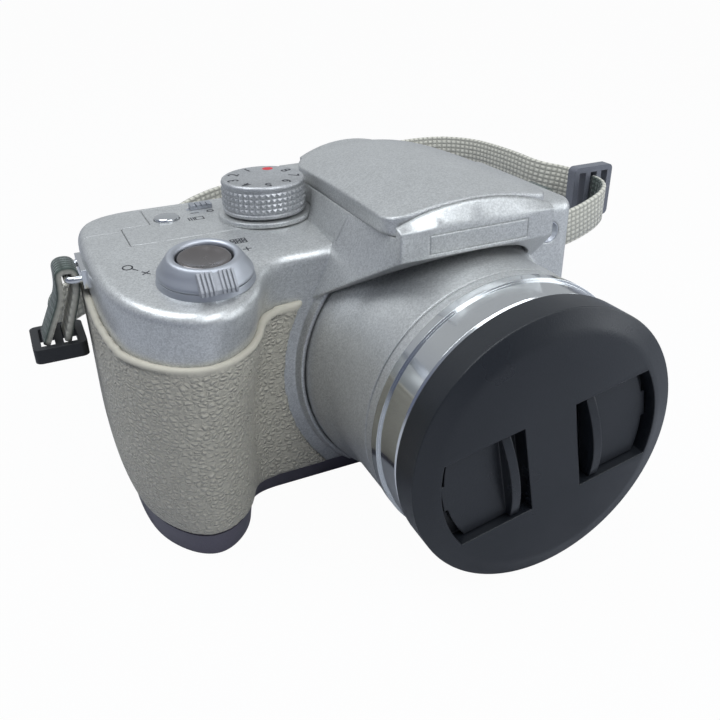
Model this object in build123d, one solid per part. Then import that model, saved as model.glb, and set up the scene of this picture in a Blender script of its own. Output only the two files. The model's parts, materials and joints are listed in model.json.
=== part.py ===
from build123d import *
import math
import os

# Bridge camera, in millimetres. +Z is up, the lens points along -Y, +X is right seen from the front.
# The origin is the mouth of the tripod socket, under the lens axis.

# Fits and clearances
run_gap = 0.3
slide_gap = 0.15
seat_gap = 0.05
overrun = 2.0

# Body shell
lens_axis_z = 29.6
shoulder_z = 60.1
base_height = 5.2
front_y = -17.5
rear_y = 25.5
right_x = 40.2
left_x = -71.4
grip_front_y = -34.6
valley_x = -36.0
wall = 1.8
side_corner = 4.0
rear_corner = 14.0
valley_blend = 5.0
foot_tuck_left = 2.6
foot_tuck_front = 3.6
waist_shift = 6.4
seam_y = 9.0
top_round = 2.6
slope_angle = 6.0
slope_start_y = -2.0
slope_radius = 120.0

# Left side of the grip end, from the rear corner round to the front tip, as shares of width and depth
grip_side_shares = (
    (0.085, 0.075),
    (0.010, 0.235),
    (0.000, 0.470),
    (0.030, 0.690),
    (0.165, 0.880),
    (0.480, 1.000),
)
# Inner flank of the grip, from the front tip back to the valley, as shares of width and reach
grip_flank_shares = (
    (0.740, 0.740),
    (0.850, 0.400),
    (0.930, 0.120),
)
# Height, left tuck, front tuck and waist of each level, as shares
grip_level_shares = (
    (0.00, 0.80, 1.00, 1.30),
    (0.22, -0.02, 0.62, 1.08),
    (0.48, -0.05, 0.30, 0.95),
    (0.72, -0.02, 0.06, 0.45),
    (0.88, 0.00, 0.00, 0.04),
    (1.00, 0.00, 0.00, 0.00),
)

# Hump over the lens, with the nose that overhangs the barrel
hump_x = -0.6
hump_base_half = 21.8
hump_top_half = 18.6
deck_z = 65.5
deck_thickness = 1.6
nose_front_y = -38.2
nose_half = 17.4
nose_low_z = 61.2
nose_brow_z = 66.9
nose_root_half = 29.0
nose_root_z = 47.5
nose_wall = 1.7
brow_y = -36.1
brow_crown_z = 71.0
brow_side_z = 67.7
brow_bow = 0.15
barrel_relief = 31.2
plate_half = 11.2
plate_low_z = 61.9
plate_high_z = 65.7
plate_depth = 0.6

# Flash lid
lid_half = 18.6
lid_front_y = -35.9
lid_rear_y = 19.0
lid_gap = 0.15
lid_side_height = 2.2
lid_crown_z = 72.2
lid_mid_y = -4.0
lid_rear_crown_z = 70.6
lid_wall = 1.5
lid_corner_front = 4.5
lid_corner_rear = 9.0
lid_round = 1.6
lid_panel_half = 8.0
lid_panel_front_y = 2.0
lid_panel_depth = 0.3
well_half = 14.5
well_front_y = -36.0
well_rear_y = -15.0
well_floor_z = 61.9
flash_half = 12.0
flash_low_z = 62.3
flash_front_y = -34.2
flash_back_y = -24.0
window_half = 11.0
window_high_z = 68.2
window_thickness = 0.9
flash_pin_y = 17.0
flash_pin_z = 67.2
flash_pin_radius = 0.8
flash_ear_half = 4.0
flash_ear_thickness = 2.0
flash_ear_radius = 1.35
flash_lug_radius = 1.5
lid_heel_z = 66.65
lid_heel_y = 17.0
rear_arch_y = 21.1
rear_arch_side_z = 66.9
rear_arch_half = 13.0
rear_arch_crown_z = 70.0
hump_wall = 1.8
hump_hollow_y = -12.5

# Flare and barrel, as radii about the lens axis
flare_radius = 33.4
flare_crest_radius = 32.6
flare_depth = 1.9
flare_bore = 31.9
housing_radius = 21.5
housing_bore = 19.9
housing_rear_y = 4.0
barrel_radius = 29.2
barrel_bore = 27.6
bead_radius = 31.5
bead_front_y = -21.9
root_taper_y = -28.5
barrel_front_y = -48.3
back_plate = 1.6
groove_y = -45.2
groove_width = 0.35
groove_depth = 0.3
ground_clearance = 0.35
trim_front_y = -58.0
trim_radius = 29.4
trim_step_radius = 28.9
trim_step_y = -50.4
trim_chamfer = 0.9
trim_bore = 26.6
cam_outer = 27.3
cam_inner = 26.65
cam_front_y = -47.6
cam_back_y = -19.8
middle_outer = 26.3
middle_inner = 25.5
middle_front_y = -56.6
middle_back_y = -21.5
front_outer = 25.2
front_inner = 23.7
front_front_y = -57.8
front_back_y = -24.0
lens_seat_radius = 20.4
lens_seat_y = -49.5
lens_seat_width = 1.4
front_lens_edge = 1.6
front_lens_bulge = 1.2
rod_radius = 0.9
rod_offset = 17.2
rod_front_y = -48.6
carrier_radius = 22.6
zoom_group_y = -42.0
zoom_group_length = 5.0
zoom_glass_radius = 12.5
focus_radius = 19.4
focus_group_y = -9.0
focus_group_length = 4.0
focus_glass_radius = 9.5
extend_travel = 20.0
zoom_share = 0.3
focus_travel = 3.0

# Lens cap, its band across the face and its two pinch tabs
cap_radius = 29.2
cap_back_y = -58.25
cap_rim_y = -64.4
cap_front_y = -66.1
cap_disc_radius = 24.3
cap_wall = 1.7
cap_roll = 10.5
cap_plug_radius = 21.8
cap_plug_wall = 1.3
cap_plug_y = -55.0
cap_floor = 1.4
cap_seat_radius = 25.2
band_low = -11.0
band_high = 9.0
band_floor_y = -62.4
web_half = 5.6
tab_thickness = 1.5
tab_gap = 0.35
tab_reach = 22.6
fin_thickness = 1.9
fin_x = 8.4
fin_crown_y = -67.3
fin_end_y = -65.4
tab_travel = 1.6
tab_slot_half = 3.4
hook_half = 2.9
cap_spring_radius = 0.9
cap_spring_wire = 0.22
cap_spring_turns = 5

# Mode dial
dial_x = -29.8
dial_y = 6.4
dial_radius = 9.6
dial_top_z = 68.8
dial_low_z = 61.3
dial_ring_radius = 10.6
dial_ring_height = 1.0
dial_face_depth = 0.4
dial_face_radius = 8.4
dial_spindle_radius = 2.4
knurl_count = 40
knurl_depth = 0.35

# Zoom ring round the shutter button, square to the sloped top
ring_x = -51.1
ring_y = -20.4
ring_base_radius = 9.6
ring_base_height = 1.3
ring_foot_radius = 9.3
ring_lip_radius = 7.1
ring_height = 5.2
ring_bore = 5.6
ring_floor = 1.2
ring_tab_half = 3.6
ring_tab_reach = 0.5
shutter_radius = 5.2
shutter_height = 4.6
shutter_dish = 0.7
shutter_stem_radius = 1.6
shutter_travel = 0.8
ring_turn = 18.0

# Top panel and its small controls
panel_depth = 1.0
panel_left_x = -61.6
panel_right_x = -22.4
panel_front_y = -0.8
panel_rear_y = 22.0
panel_notch_x = -55.2
panel_notch_y = 11.0
panel_margin = 0.7
burst_x = -51.0
burst_y = 13.4
burst_radius = 2.8
burst_rise = 1.0
button_travel = 0.6
switch_x = -42.0
switch_y = 18.0
switch_length = 5.0
switch_width = 2.6
switch_rise = 1.1
switch_travel = 2.6

# Focus-assist lamp
lamp_x = 32.8
lamp_z = 52.8
lamp_radius = 2.7
lamp_depth = 1.0

# Rear: screen, eyepiece and controls
screen_x = 4.0
screen_z = 29.0
screen_half_width = 27.5
screen_half_height = 21.5
screen_frame = 1.4
window_depth = 1.0
display_depth = 3.2
eye_x = hump_x
eye_z = 58.4
eye_half_width = 12.0
eye_half_height = 5.9
eye_depth = 4.6
eye_bore_half = 7.0
eye_bore_height = 3.6
finder_depth = 20.0
diopter_radius = 3.2
diopter_thickness = 2.0
diopter_x = -16.4
pad_x = -46.5
pad_z = 23.0
pad_radius = 8.2
pad_inner = 3.6
pad_rise = 1.0
rear_button_radius = 2.4
rear_button_rise = 0.8
# Centres of the round rear buttons, as shares of the body's left width and height
rear_button_shares = (
    ("display_button", -0.52, 0.66),
    ("delete_button", -0.74, 0.66),
    ("exposure_button", -0.55, 0.82),
)

# Side door over the sockets
side_door_y = -1.0
side_door_half = 8.0
side_door_low_z = 14.0
side_door_high_z = 38.0
side_pin_radius = 0.45
socket_width = 5.0
socket_height = 6.5

# Strap lugs, strap and its slides
lug_y = 3.0
lug_z = 55.2
lug_plate_half = 5.7
lug_plate_height = 2.0
lug_reach = 3.8
lug_wire = 0.8
strap_width = 10.0
strap_thickness = 1.5
strap_end_width = 8.2
buckle_bar = 1.7
slide_corner = 1.5
left_slide_long = 10.9
left_slide_wide = 12.4
left_slide_thick = 3.2
left_slide_centre = (-79.3, 3.0, 40.2)
right_slide_long = 13.6
right_slide_wide = 15.4
right_slide_centre = (75.5, 19.5, 47.5)

# Base: tripod socket, battery compartment and its door
socket_radius = 5.6
socket_bore = 2.6
socket_height_z = 6.4
socket_bore_depth = 5.4
base_floor = 2.0
base_flare = 1.0
base_tuck = 2.3
door_left_x = -66.0
door_right_x = -46.9
door_front_y = -16.6
door_gap = 0.25
door_thickness = 1.7
door_pin_y = 17.6
door_pin_z = 1.75
door_pin_radius = 0.55
latch_length = 6.0
latch_width = 3.0
latch_travel = 2.0
battery_width = 14.6
battery_depth = 30.2
battery_room = 9.9
card_thickness = 2.1
card_depth = 24.0
card_height = 32.0

# Inside
board_y = 13.6
board_thickness = 1.2
chassis_y = 6.0
chassis_thickness = 1.0
sensor_half = 8.0
screw_radius = 1.6
screw_head = 0.7
screw_shank = 0.8
screw_length = 5.0

# Further sizes of the pieces above
fit_gap = 0.1
lid_drop = 1.0
burst_stem_radius = 1.2
burst_low_z = 59.9
switch_stem = 0.9
flash_button_radius = 2.6
flash_button_x = 27.0
flash_button_y = 14.0
lug_sink = 1.0
pocket_depth = 3.4
socket_depth = 3.0
side_pin_reach = 1.2
pad_recess = 1.3
pad_lift = 0.5
post_left_x = -28.5
post_right_x = 34.8
post_low_z = 12.0
post_high_z = 45.0
post_radius = 1.8
base_foot = 0.6
battery_right_x = -47.9
battery_front_y = -14.6
battery_low_z = 3.2
card_front_y = -10.0
card_gap = 0.9
sleeve_wall = 0.8
sleeve_top_z = 20.0
door_low_z = 0.1
boss_length = 1.6
latch_room = 0.8
latch_front_y = -12.5
latch_plate = 0.7
skin_thickness = 1.3
skin_front_z = 46.8
skin_rise_y = -22.0
skin_lift = 0.4
skin_side_y = -5.0
skin_side_z = 51.5
skin_rear_z = 52.8
skin_arc_radius = 35.9
skin_arc_share = 0.75
flange_length = 2.0
glass_inset = 0.6
sensor_plate = 1.4
sensor_share = 0.75
rim_land = 0.1
hook_inner = 21.9
hook_outer = 23.2
hook_back_y = -56.2
flash_lug_inner = 6.4
dial_bevel = 0.5
knurl_height = 5.6
ring_round = 0.7
ring_tab_z = 4.7
ring_rib_depth = 0.6
shutter_stem = 2.6
finder_wall = 0.6
eye_corner = 4.0
button_rim = 0.9
button_flange = 0.8
chip_half = 6.0
chip_height = 1.6
arc_share = 0.45

# Folded end of the webbing beside a lug, as distances out from the lug bar and down from it
fold_inner = 0.95
fold_outer_leg = ((2.45, 0.0), (3.1, 5.2), (7.4, 13.6))
fold_inner_leg = ((5.9, 13.6), (1.6, 5.2), (0.95, 0.0))
fold_far_outer = ((-2.45, 0.0), (-1.4, 5.2), (1.6, 13.6))
fold_far_inner = ((3.1, 13.6), (0.1, 5.2), (-0.95, 0.0))

# Route of the neck strap's webbing, from the left slide round behind the camera to the right slide
strap_route = (
    (-79.3, 9.2, 40.2),
    (-79.3, 19.0, 40.2),
    (-72.0, 29.5, 39.0),
    (-57.0, 33.5, 43.0),
    (-39.5, 46.5, 50.0),
    (-15.0, 58.0, 50.0),
    (17.0, 70.4, 50.0),
    (49.0, 78.2, 50.0),
    (64.0, 69.0, 50.0),
    (66.5, 48.0, 50.0),
    (67.5, 34.0, 49.0),
    (75.5, 29.0, 47.5),
    (75.5, 21.1, 47.5),
)
# Route of the right end, from its fold below the lug out to the right slide
right_link_route = (
    (48.4, 3.0, 43.5),
    (57.0, 3.5, 43.5),
    (75.5, 9.0, 47.5),
    (75.5, 17.9, 47.5),
)


def block(x_low, x_high, y_low, y_high, z_low, z_high):
    """Box between two corners."""
    middle = Pos((x_low + x_high) / 2, (y_low + y_high) / 2, (z_low + z_high) / 2)
    return middle * Box(x_high - x_low, y_high - y_low, z_high - z_low)


def round_x(radius, x_low, x_high, y, z):
    """Round bar along X."""
    return Pos((x_low + x_high) / 2, y, z) * Rot(0, 90, 0) * Cylinder(radius, x_high - x_low)


def round_y(radius, y_low, y_high, x, z):
    """Round bar along Y."""
    return Pos(x, (y_low + y_high) / 2, z) * Rot(90, 0, 0) * Cylinder(radius, y_high - y_low)


def round_z(radius, z_low, z_high, x, y):
    """Round bar along Z."""
    return Pos(x, y, (z_low + z_high) / 2) * Cylinder(radius, z_high - z_low)


def turned_y(points, x=0.0, z=lens_axis_z):
    """Solid turned about an axis along Y, from (radius, y) points."""
    return Pos(x, 0, z) * revolve(make_face(Polyline(*points, close=True)), Axis.Y)


def turned_z(points):
    """Solid turned about Z, from (radius, z) points."""
    return revolve(Plane.XZ * make_face(Polyline(*points, close=True)), Axis.Z)


def tube_y(outer, inner, y_low, y_high):
    """Tube about the lens axis."""
    return turned_y([(inner, y_low), (outer, y_low), (outer, y_high), (inner, y_high)])


def profile_yz(points, x_low, x_high):
    """Closed (y, z) outline drawn out along X."""
    face = Plane.YZ * make_face(Polyline(*points, close=True))
    return Pos(x_low, 0, 0) * extrude(face, x_high - x_low)


def profile_xz(points, y_low, y_high):
    """Closed (x, z) outline drawn out along Y."""
    face = Plane.XZ * make_face(Polyline(*points, close=True))
    return Pos(0, y_high, 0) * extrude(face, y_high - y_low)


def write(shape, node):
    """Save one piece under its node name."""
    export_step(shape, f"parts/{node}.step")


def body_section(z, left, front, valley, face, rear, right):
    """Plan outline of the whole body at one height."""
    width = valley - left
    points = [(left + u * width, rear + v * (front - rear)) for u, v in grip_side_shares]
    points += [(left + u * width, face + v * (front - face)) for u, v in grip_flank_shares]
    start = (left + rear_corner, rear)
    end = (valley + valley_blend, face)
    ends = [(-1, 0), (1, 0)]
    grip = Spline(start, *points, end, tangents=ends, tangent_scalars=(1, 1))
    sides = FilletPolyline(end, (right, face), (right, rear), start, radius=side_corner)
    return Pos(0, 0, z) * make_face(grip + sides)


def level_section(level, inset):
    """Body outline at one of the named levels, moved in by an inset."""
    height, left_tuck, front_tuck, waist = level
    return body_section(
        base_height + height * (shoulder_z - base_height),
        left_x + foot_tuck_left * left_tuck + inset,
        grip_front_y + foot_tuck_front * front_tuck + inset,
        valley_x - waist_shift * waist - inset,
        front_y + inset,
        rear_y - inset,
        right_x - inset,
    )


def top_slope(drop):
    """Everything above the sloped top of the grip end, lowered by a drop."""
    top = shoulder_z - drop
    run = slope_start_y - grip_front_y + overrun
    reach = top - run * math.tan(math.radians(slope_angle))
    path = FilletPolyline(
        (rear_y + overrun, top),
        (slope_start_y, top),
        (grip_front_y - overrun, reach),
        radius=slope_radius,
    )
    high = top + drop + overrun
    lid = Polyline(
        (grip_front_y - overrun, reach),
        (grip_front_y - overrun, high),
        (rear_y + overrun, high),
        (rear_y + overrun, top),
    )
    face = Plane.YZ * make_face(path + lid)
    width = hump_x - left_x + 2 * overrun
    return Pos(left_x - 2 * overrun, 0, 0) * extrude(face, width)


def body_form(inset):
    """Outside of the body with a sharp top edge, or its hollow when the inset is positive."""
    form = loft([level_section(level, inset) for level in grip_level_shares])
    low = base_height - overrun
    high = shoulder_z - max(inset, 0)
    reach = 2 * wall
    left = form & block(left_x - reach, hump_x, grip_front_y - reach, rear_y + reach, low, high)
    right = form & block(hump_x, right_x + reach, grip_front_y - reach, rear_y + reach, low, high)
    return left - top_slope(max(inset, 0)), right


def rounded_body():
    """Outside of the body with its top edge rounded."""
    halves = []
    for half in body_form(0):
        rim = [
            edge
            for edge in half.edges()
            if edge.bounding_box().min.Z > skin_rear_z
            and edge.length > top_round
            and abs(edge.center().X - hump_x) > seat_gap
            and edge.geom_type != GeomType.LINE
        ]
        halves.append(fillet(rim, top_round))
    return halves[0] + halves[1]


def body_hollow():
    """Hollow inside the body."""
    left, right = body_form(wall)
    return left + right


def arch_face(y, half, low, side, crown):
    """Upright face with an arched top."""
    points = Polyline((hump_x + half, side), (hump_x + half, low), (hump_x - half, low),
                      (hump_x - half, side))
    arch = ThreePointArc((hump_x - half, side), (hump_x, crown), (hump_x + half, side))
    return Pos(0, y, 0) * (Plane.XZ * make_face(points + arch))


def hump_form():
    """Hump over the lens with the overhanging nose and its arched brow."""
    side = profile_xz(
        [
            (hump_x - hump_base_half, shoulder_z - top_round * 2),
            (hump_x - hump_base_half, shoulder_z),
            (hump_x - hump_top_half, deck_z),
            (hump_x + hump_top_half, deck_z),
            (hump_x + hump_base_half, shoulder_z),
            (hump_x + hump_base_half, shoulder_z - top_round * 2),
        ],
        front_y,
        rear_y,
    )
    root = [
        (-nose_root_half, nose_root_z),
        (hump_x - hump_base_half, shoulder_z),
        (hump_x - hump_top_half, deck_z),
        (hump_x + hump_top_half, deck_z),
        (hump_x + hump_base_half, shoulder_z),
        (nose_root_half, nose_root_z),
    ]
    tip = [
        (hump_x - nose_half, nose_low_z),
        (hump_x - nose_half, (nose_low_z + deck_z) / 2),
        (hump_x - nose_half, deck_z),
        (hump_x + nose_half, deck_z),
        (hump_x + nose_half, (nose_low_z + deck_z) / 2),
        (hump_x + nose_half, nose_low_z),
    ]
    back = Pos(0, front_y + wall / 2, 0) * (Plane.XZ * make_face(Polyline(*root, close=True)))
    front = Pos(0, nose_front_y, 0) * (Plane.XZ * make_face(Polyline(*tip, close=True)))
    nose = loft([back, front], ruled=True)
    brow = loft(
        [
            arch_face(brow_y, nose_half, nose_low_z, brow_side_z, brow_crown_z),
            arch_face(nose_front_y, nose_half, nose_low_z, nose_brow_z, nose_brow_z + brow_bow),
        ],
        ruled=True,
    )
    relief = turned_y([
        (0, nose_front_y - overrun),
        (barrel_relief, nose_front_y - overrun),
        (barrel_relief, root_taper_y),
        (flare_bore, bead_front_y),
        (flare_bore, front_y),
        (0, front_y),
    ])
    return side + (nose + brow - relief)


def flare_form():
    """Raised ring on the front face round the barrel root."""
    ring = turned_y([
        (flare_bore, front_y - flare_depth),
        (flare_crest_radius, front_y - flare_depth),
        (flare_radius, front_y),
        (flare_radius, front_y + wall / 2),
        (flare_bore, front_y + wall / 2),
    ])
    keep = block(-flare_radius, flare_radius, front_y - flare_depth, front_y + wall,
                 base_height, shoulder_z)
    return ring & keep


def lid_outline(inset):
    """Plan outline of the flash lid."""
    half = lid_half - inset
    front = lid_front_y + inset
    rear = lid_rear_y - inset
    sketch = Pos(hump_x, (front + rear) / 2, 0) * Rectangle(2 * half, rear - front)
    corners = sketch.vertices().sort_by(Axis.Y)
    sketch = fillet(corners[:2], lid_corner_front - inset)
    return fillet(sketch.vertices().sort_by(Axis.Y)[-2:], lid_corner_rear - inset)


def lid_crown(inset):
    """Space under the arched top of the flash lid."""
    side = deck_z + lid_side_height - inset
    return loft([
        arch_face(lid_front_y - overrun, hump_base_half, 0, side, brow_crown_z - inset),
        arch_face(lid_mid_y, hump_base_half, 0, side, lid_crown_z - inset),
        arch_face(lid_rear_y + overrun, hump_base_half, 0, side - lid_drop, lid_rear_crown_z - inset),
    ])


def rear_arch_form():
    """Fixed end of the hump behind the flash lid, over the eyepiece."""
    face = arch_face(rear_y, rear_arch_half, deck_z - wall, rear_arch_side_z, rear_arch_crown_z)
    return extrude(face, rear_arch_y - rear_y, dir=(0, 1, 0))


def panel_form(margin):
    """Outline of the top panel drawn through the top of the body."""
    points = [
        (panel_left_x - margin, panel_front_y - margin),
        (panel_right_x + margin, panel_front_y - margin),
        (panel_right_x + margin, panel_rear_y + margin),
        (panel_notch_x - margin, panel_rear_y + margin),
        (panel_notch_x - margin, panel_notch_y + margin),
        (panel_left_x - margin, panel_notch_y + margin),
    ]
    face = make_face(Polyline(*points, close=True))
    return Pos(0, 0, shoulder_z - panel_depth) * extrude(face, panel_depth + overrun)


def ring_place(height=0.0):
    """Frame of the zoom ring, square to the sloped top."""
    drop = (slope_start_y - ring_y) * math.tan(math.radians(slope_angle))
    base = Pos(ring_x, ring_y, shoulder_z - drop) * Rot(slope_angle, 0, 0)
    return base * Pos(0, 0, height)


def cap_place():
    """Frame of the lens cap, rolled about the lens axis."""
    return Pos(0, 0, lens_axis_z) * Rot(0, -cap_roll, 0)


def round_buttons():
    """Name and centre of each small round button on the rear."""
    return [(name, -left_x * u, shoulder_z * v) for name, u, v in rear_button_shares]


def side_door_block(margin, depth):
    """Block of the side door, let into the right side by a depth."""
    return block(right_x - depth, right_x + margin, side_door_y - side_door_half - margin,
                 side_door_y + side_door_half + margin, side_door_low_z - margin,
                 side_door_high_z + margin)


def cover_form():
    """Whole outer shell before it is parted at the seam."""
    shell = rounded_body() + hump_form() + flare_form() + rear_arch_form()
    shell -= body_hollow()
    shell -= block(hump_x - hump_top_half + hump_wall, hump_x + hump_top_half - hump_wall,
                   hump_hollow_y, rear_y - wall, shoulder_z - 2 * wall, deck_z - deck_thickness)
    shell -= block(hump_x - well_half, hump_x + well_half, well_front_y, well_rear_y,
                   well_floor_z, brow_crown_z + overrun)
    shell -= round_y(housing_radius + run_gap, front_y - overrun, front_y + wall + overrun, 0,
                     lens_axis_z)
    shell -= panel_form(slide_gap)
    shell -= round_z(dial_ring_radius + slide_gap, shoulder_z, deck_z + overrun, dial_x, dial_y)
    shell -= round_z(dial_spindle_radius + slide_gap, shoulder_z - 2 * wall, shoulder_z, dial_x,
                     dial_y)
    shell -= round_z(burst_stem_radius + slide_gap, shoulder_z - 2 * wall, shoulder_z, burst_x,
                     burst_y)
    shell -= block(switch_x - switch_stem - switch_travel, switch_x + switch_stem + slide_gap,
                   switch_y - switch_stem, switch_y + switch_stem, shoulder_z - 2 * wall,
                   shoulder_z)
    shell -= ring_place() * Cylinder(shutter_stem_radius + slide_gap, 4 * wall)
    shell -= round_z(flash_button_radius + slide_gap, shoulder_z - 2 * wall, shoulder_z + overrun,
                     flash_button_x, flash_button_y)
    shell -= round_y(lamp_radius, front_y - overrun, front_y + lamp_depth, lamp_x, lamp_z)
    shell -= nose_plate_form(0)
    return shell


def nose_plate_form(margin):
    """Block of the bare name plate on the nose."""
    return block(hump_x - plate_half + margin, hump_x + plate_half - margin, nose_front_y,
                 nose_front_y + plate_depth, plate_low_z + margin, plate_high_z - margin)


def lug_block(side):
    """Block of one strap lug's foot, let into the side wall."""
    edge = left_x if side < 0 else right_x
    return block(edge - lug_sink, edge + lug_sink, lug_y - lug_plate_half, lug_y + lug_plate_half,
                 lug_z - lug_plate_height, lug_z + lug_plate_height)


def front_cover():
    """Front half of the shell, with the hump, the nose and the flare ring."""
    far = 3 * wall
    shell = cover_form() & block(left_x - far, right_x + far, nose_front_y - far, seam_y, 0,
                                 lid_crown_z)
    pocket = block(right_x - wall - pocket_depth, right_x - wall + overrun / 4,
                   side_door_y - side_door_half - wall, side_door_y + side_door_half + wall,
                   side_door_low_z - wall, side_door_high_z + wall)
    sockets = [
        block(right_x - wall - socket_depth, right_x, side_door_y - socket_width / 2,
              side_door_y + socket_width / 2, z - socket_height / 2, z + socket_height / 2)
        for z in (side_door_low_z + socket_height, side_door_high_z - socket_height)
    ]
    shell = (shell + pocket) - side_door_block(run_gap, wall)
    for socket in sockets:
        shell -= socket
    pin_y = side_door_y + side_door_half - wall / 2
    shell -= round_z(side_pin_radius + seat_gap, side_door_low_z - side_pin_reach - slide_gap,
                     side_door_high_z + side_pin_reach + slide_gap, right_x - wall / 2, pin_y)
    for side in (-1, 1):
        shell -= lug_block(side)
    write(shell, "front_cover")


def rear_cover():
    """Rear half of the shell, with the flash hinge ears and the openings of the controls."""
    far = 3 * wall
    shell = cover_form() & block(left_x - far, right_x + far, seam_y, rear_y + far, 0, lid_crown_z)
    for side in (-1, 1):
        inner = hump_x + side * flash_ear_half
        outer = inner + side * flash_ear_thickness
        low, high = min(inner, outer), max(inner, outer)
        shell += block(low, high, flash_pin_y - flash_ear_radius, flash_pin_y,
                       deck_z - deck_thickness, flash_pin_z)
        shell += round_x(flash_ear_radius, low, high, flash_pin_y, flash_pin_z)
    reach = flash_ear_half + flash_ear_thickness + overrun
    shell -= round_x(flash_pin_radius, hump_x - reach, hump_x + reach, flash_pin_y, flash_pin_z)
    shell -= block(screen_x - screen_half_width, screen_x + screen_half_width, rear_y - window_depth,
                   rear_y + overrun, screen_z - screen_half_height, screen_z + screen_half_height)
    inner_half = screen_half_width - screen_frame
    inner_height = screen_half_height - screen_frame
    shell -= block(screen_x - inner_half, screen_x + inner_half, rear_y - 2 * wall,
                   rear_y + overrun, screen_z - inner_height, screen_z + inner_height)
    shell -= block(eye_x - eye_bore_half, eye_x + eye_bore_half, rear_y - 2 * wall,
                   rear_y + overrun, eye_z - eye_bore_height, eye_z + eye_bore_height)
    shell -= round_y(pad_radius + slide_gap, rear_y - pad_recess, rear_y + overrun, pad_x, pad_z)
    shell -= round_y(pad_inner - run_gap + slide_gap, rear_y - 2 * wall, rear_y + overrun, pad_x,
                     pad_z)
    for name, x, z in round_buttons():
        shell -= round_y(rear_button_radius + slide_gap, rear_y - 2 * wall, rear_y + overrun, x, z)
    for x in (post_left_x, post_right_x):
        for z in (post_low_z, post_high_z):
            shell += round_y(post_radius, board_y + board_thickness, rear_y - wall / 2, x, z)
    write(shell, "rear_cover")


def top_panel():
    """Flush panel in the top, under the dial and beside the zoom ring."""
    panel = panel_form(0) & body_form(0)[0]
    panel -= block(hump_x - hump_base_half, hump_x, front_y, rear_y, 0, deck_z)
    panel -= round_z(dial_spindle_radius + slide_gap, 0, deck_z, dial_x, dial_y)
    panel -= round_z(burst_radius + slide_gap, 0, deck_z, burst_x, burst_y)
    panel -= block(switch_x - switch_stem - switch_travel, switch_x + switch_stem + slide_gap,
                   switch_y - switch_stem, switch_y + switch_stem, 0, deck_z)
    write(panel, "top_panel")


def base_outline(height, spread, tuck):
    """Outline of the base at one height, wider than the shell by a spread and drawn in at the face."""
    level = grip_level_shares[0]
    return body_section(
        height,
        left_x + foot_tuck_left * level[1] - spread,
        grip_front_y + foot_tuck_front * level[2] - spread,
        valley_x - waist_shift * level[3] + spread,
        front_y + tuck,
        rear_y - tuck,
        right_x - tuck,
    )


def base_plate():
    """Tray under the shell, with the battery sleeve and the opening of the battery door."""
    tray = loft([base_outline(0, base_foot, base_tuck), base_outline(base_height, base_flare, 0)])
    pocket = extrude(base_outline(base_floor, -2 * wall, 2 * wall), base_height)
    tray -= pocket
    sleeve_left = card_left() - sleeve_wall
    sleeve_right = battery_right_x + sleeve_wall
    tray += block(sleeve_right - battery_width - 2 * sleeve_wall, sleeve_right,
                  battery_front_y - sleeve_wall, battery_front_y + battery_depth + sleeve_wall,
                  base_floor / 2, sleeve_top_z)
    tray += block(sleeve_left, sleeve_right - sleeve_wall, card_front_y - sleeve_wall,
                  card_front_y + card_depth + sleeve_wall, base_floor / 2, sleeve_top_z)
    tray -= block(battery_right_x - battery_width - seat_gap, battery_right_x + seat_gap,
                  battery_front_y - seat_gap, battery_front_y + battery_depth + seat_gap,
                  0, sleeve_top_z + overrun)
    tray -= block(card_left() - seat_gap, card_left() + card_thickness + seat_gap,
                  card_front_y - seat_gap, card_front_y + card_depth + seat_gap, 0,
                  sleeve_top_z + overrun)
    knuckle = door_pin_z - door_low_z
    for x in (door_left_x - boss_length, door_right_x):
        tray += block(x, x + boss_length, door_pin_y - knuckle, door_pin_y + knuckle,
                      base_floor / 2, door_pin_z)
        tray += round_x(knuckle, x, x + boss_length, door_pin_y, door_pin_z)
    tray -= block(door_left_x, door_right_x, door_front_y, door_pin_y + knuckle + door_gap, 0,
                  base_floor + latch_room)
    tray -= block(door_left_x, door_right_x, door_pin_y - knuckle - door_gap,
                  door_pin_y + knuckle + door_gap, 0, door_pin_z + knuckle + door_gap)
    tray -= round_x(door_pin_radius, door_left_x - boss_length, door_right_x + boss_length,
                    door_pin_y, door_pin_z)
    tray -= round_z(socket_radius, 0, base_height, 0, 0)
    write(tray, "base_plate")


def card_left():
    """Left face of the memory card, beside the battery."""
    return battery_right_x - battery_width - card_gap - card_thickness


def grip_skin():
    """Soft skin over the grip end, with its raised top edge."""
    skin = body_form(-skin_thickness)[0] - body_form(-seat_gap)[0]
    side = profile_yz(
        [
            (grip_front_y - overrun * 2, base_height + run_gap),
            (grip_front_y - overrun * 2, skin_front_z),
            (skin_rise_y, skin_front_z + skin_lift),
            (skin_side_y, skin_side_z),
            (seam_y, skin_rear_z),
            (seam_y, base_height + run_gap),
        ],
        left_x - overrun * 2,
        -skin_arc_radius * skin_arc_share,
    )
    skin = skin & side
    skin -= round_y(skin_arc_radius, grip_front_y - overrun, rear_y, 0, lens_axis_z)
    write(skin, "grip_skin")


def nose_plate():
    """Bare plate in the face of the nose."""
    write(nose_plate_form(seat_gap), "nose_plate")


def ground_cut(shape):
    """Take away what would reach below the foot of the camera."""
    reach = 2 * flare_radius
    return shape - block(-reach, reach, 2 * trim_front_y, reach, -reach, ground_clearance)


def fixed_barrel():
    """Fixed barrel with its root bead, seam groove and the housing behind it."""
    outline = [
        (housing_bore, housing_rear_y),
        (housing_bore, front_y - back_plate),
        (barrel_bore, front_y - back_plate),
        (barrel_bore, barrel_front_y),
        (barrel_radius, barrel_front_y),
        (barrel_radius, groove_y - groove_width),
        (barrel_radius - groove_depth, groove_y - groove_width),
        (barrel_radius - groove_depth, groove_y),
        (barrel_radius, groove_y),
        (barrel_radius, root_taper_y),
        (bead_radius, bead_front_y),
        (bead_radius, front_y),
        (housing_radius, front_y),
        (housing_radius, housing_rear_y),
    ]
    write(ground_cut(turned_y(outline)), "fixed_barrel")


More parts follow.
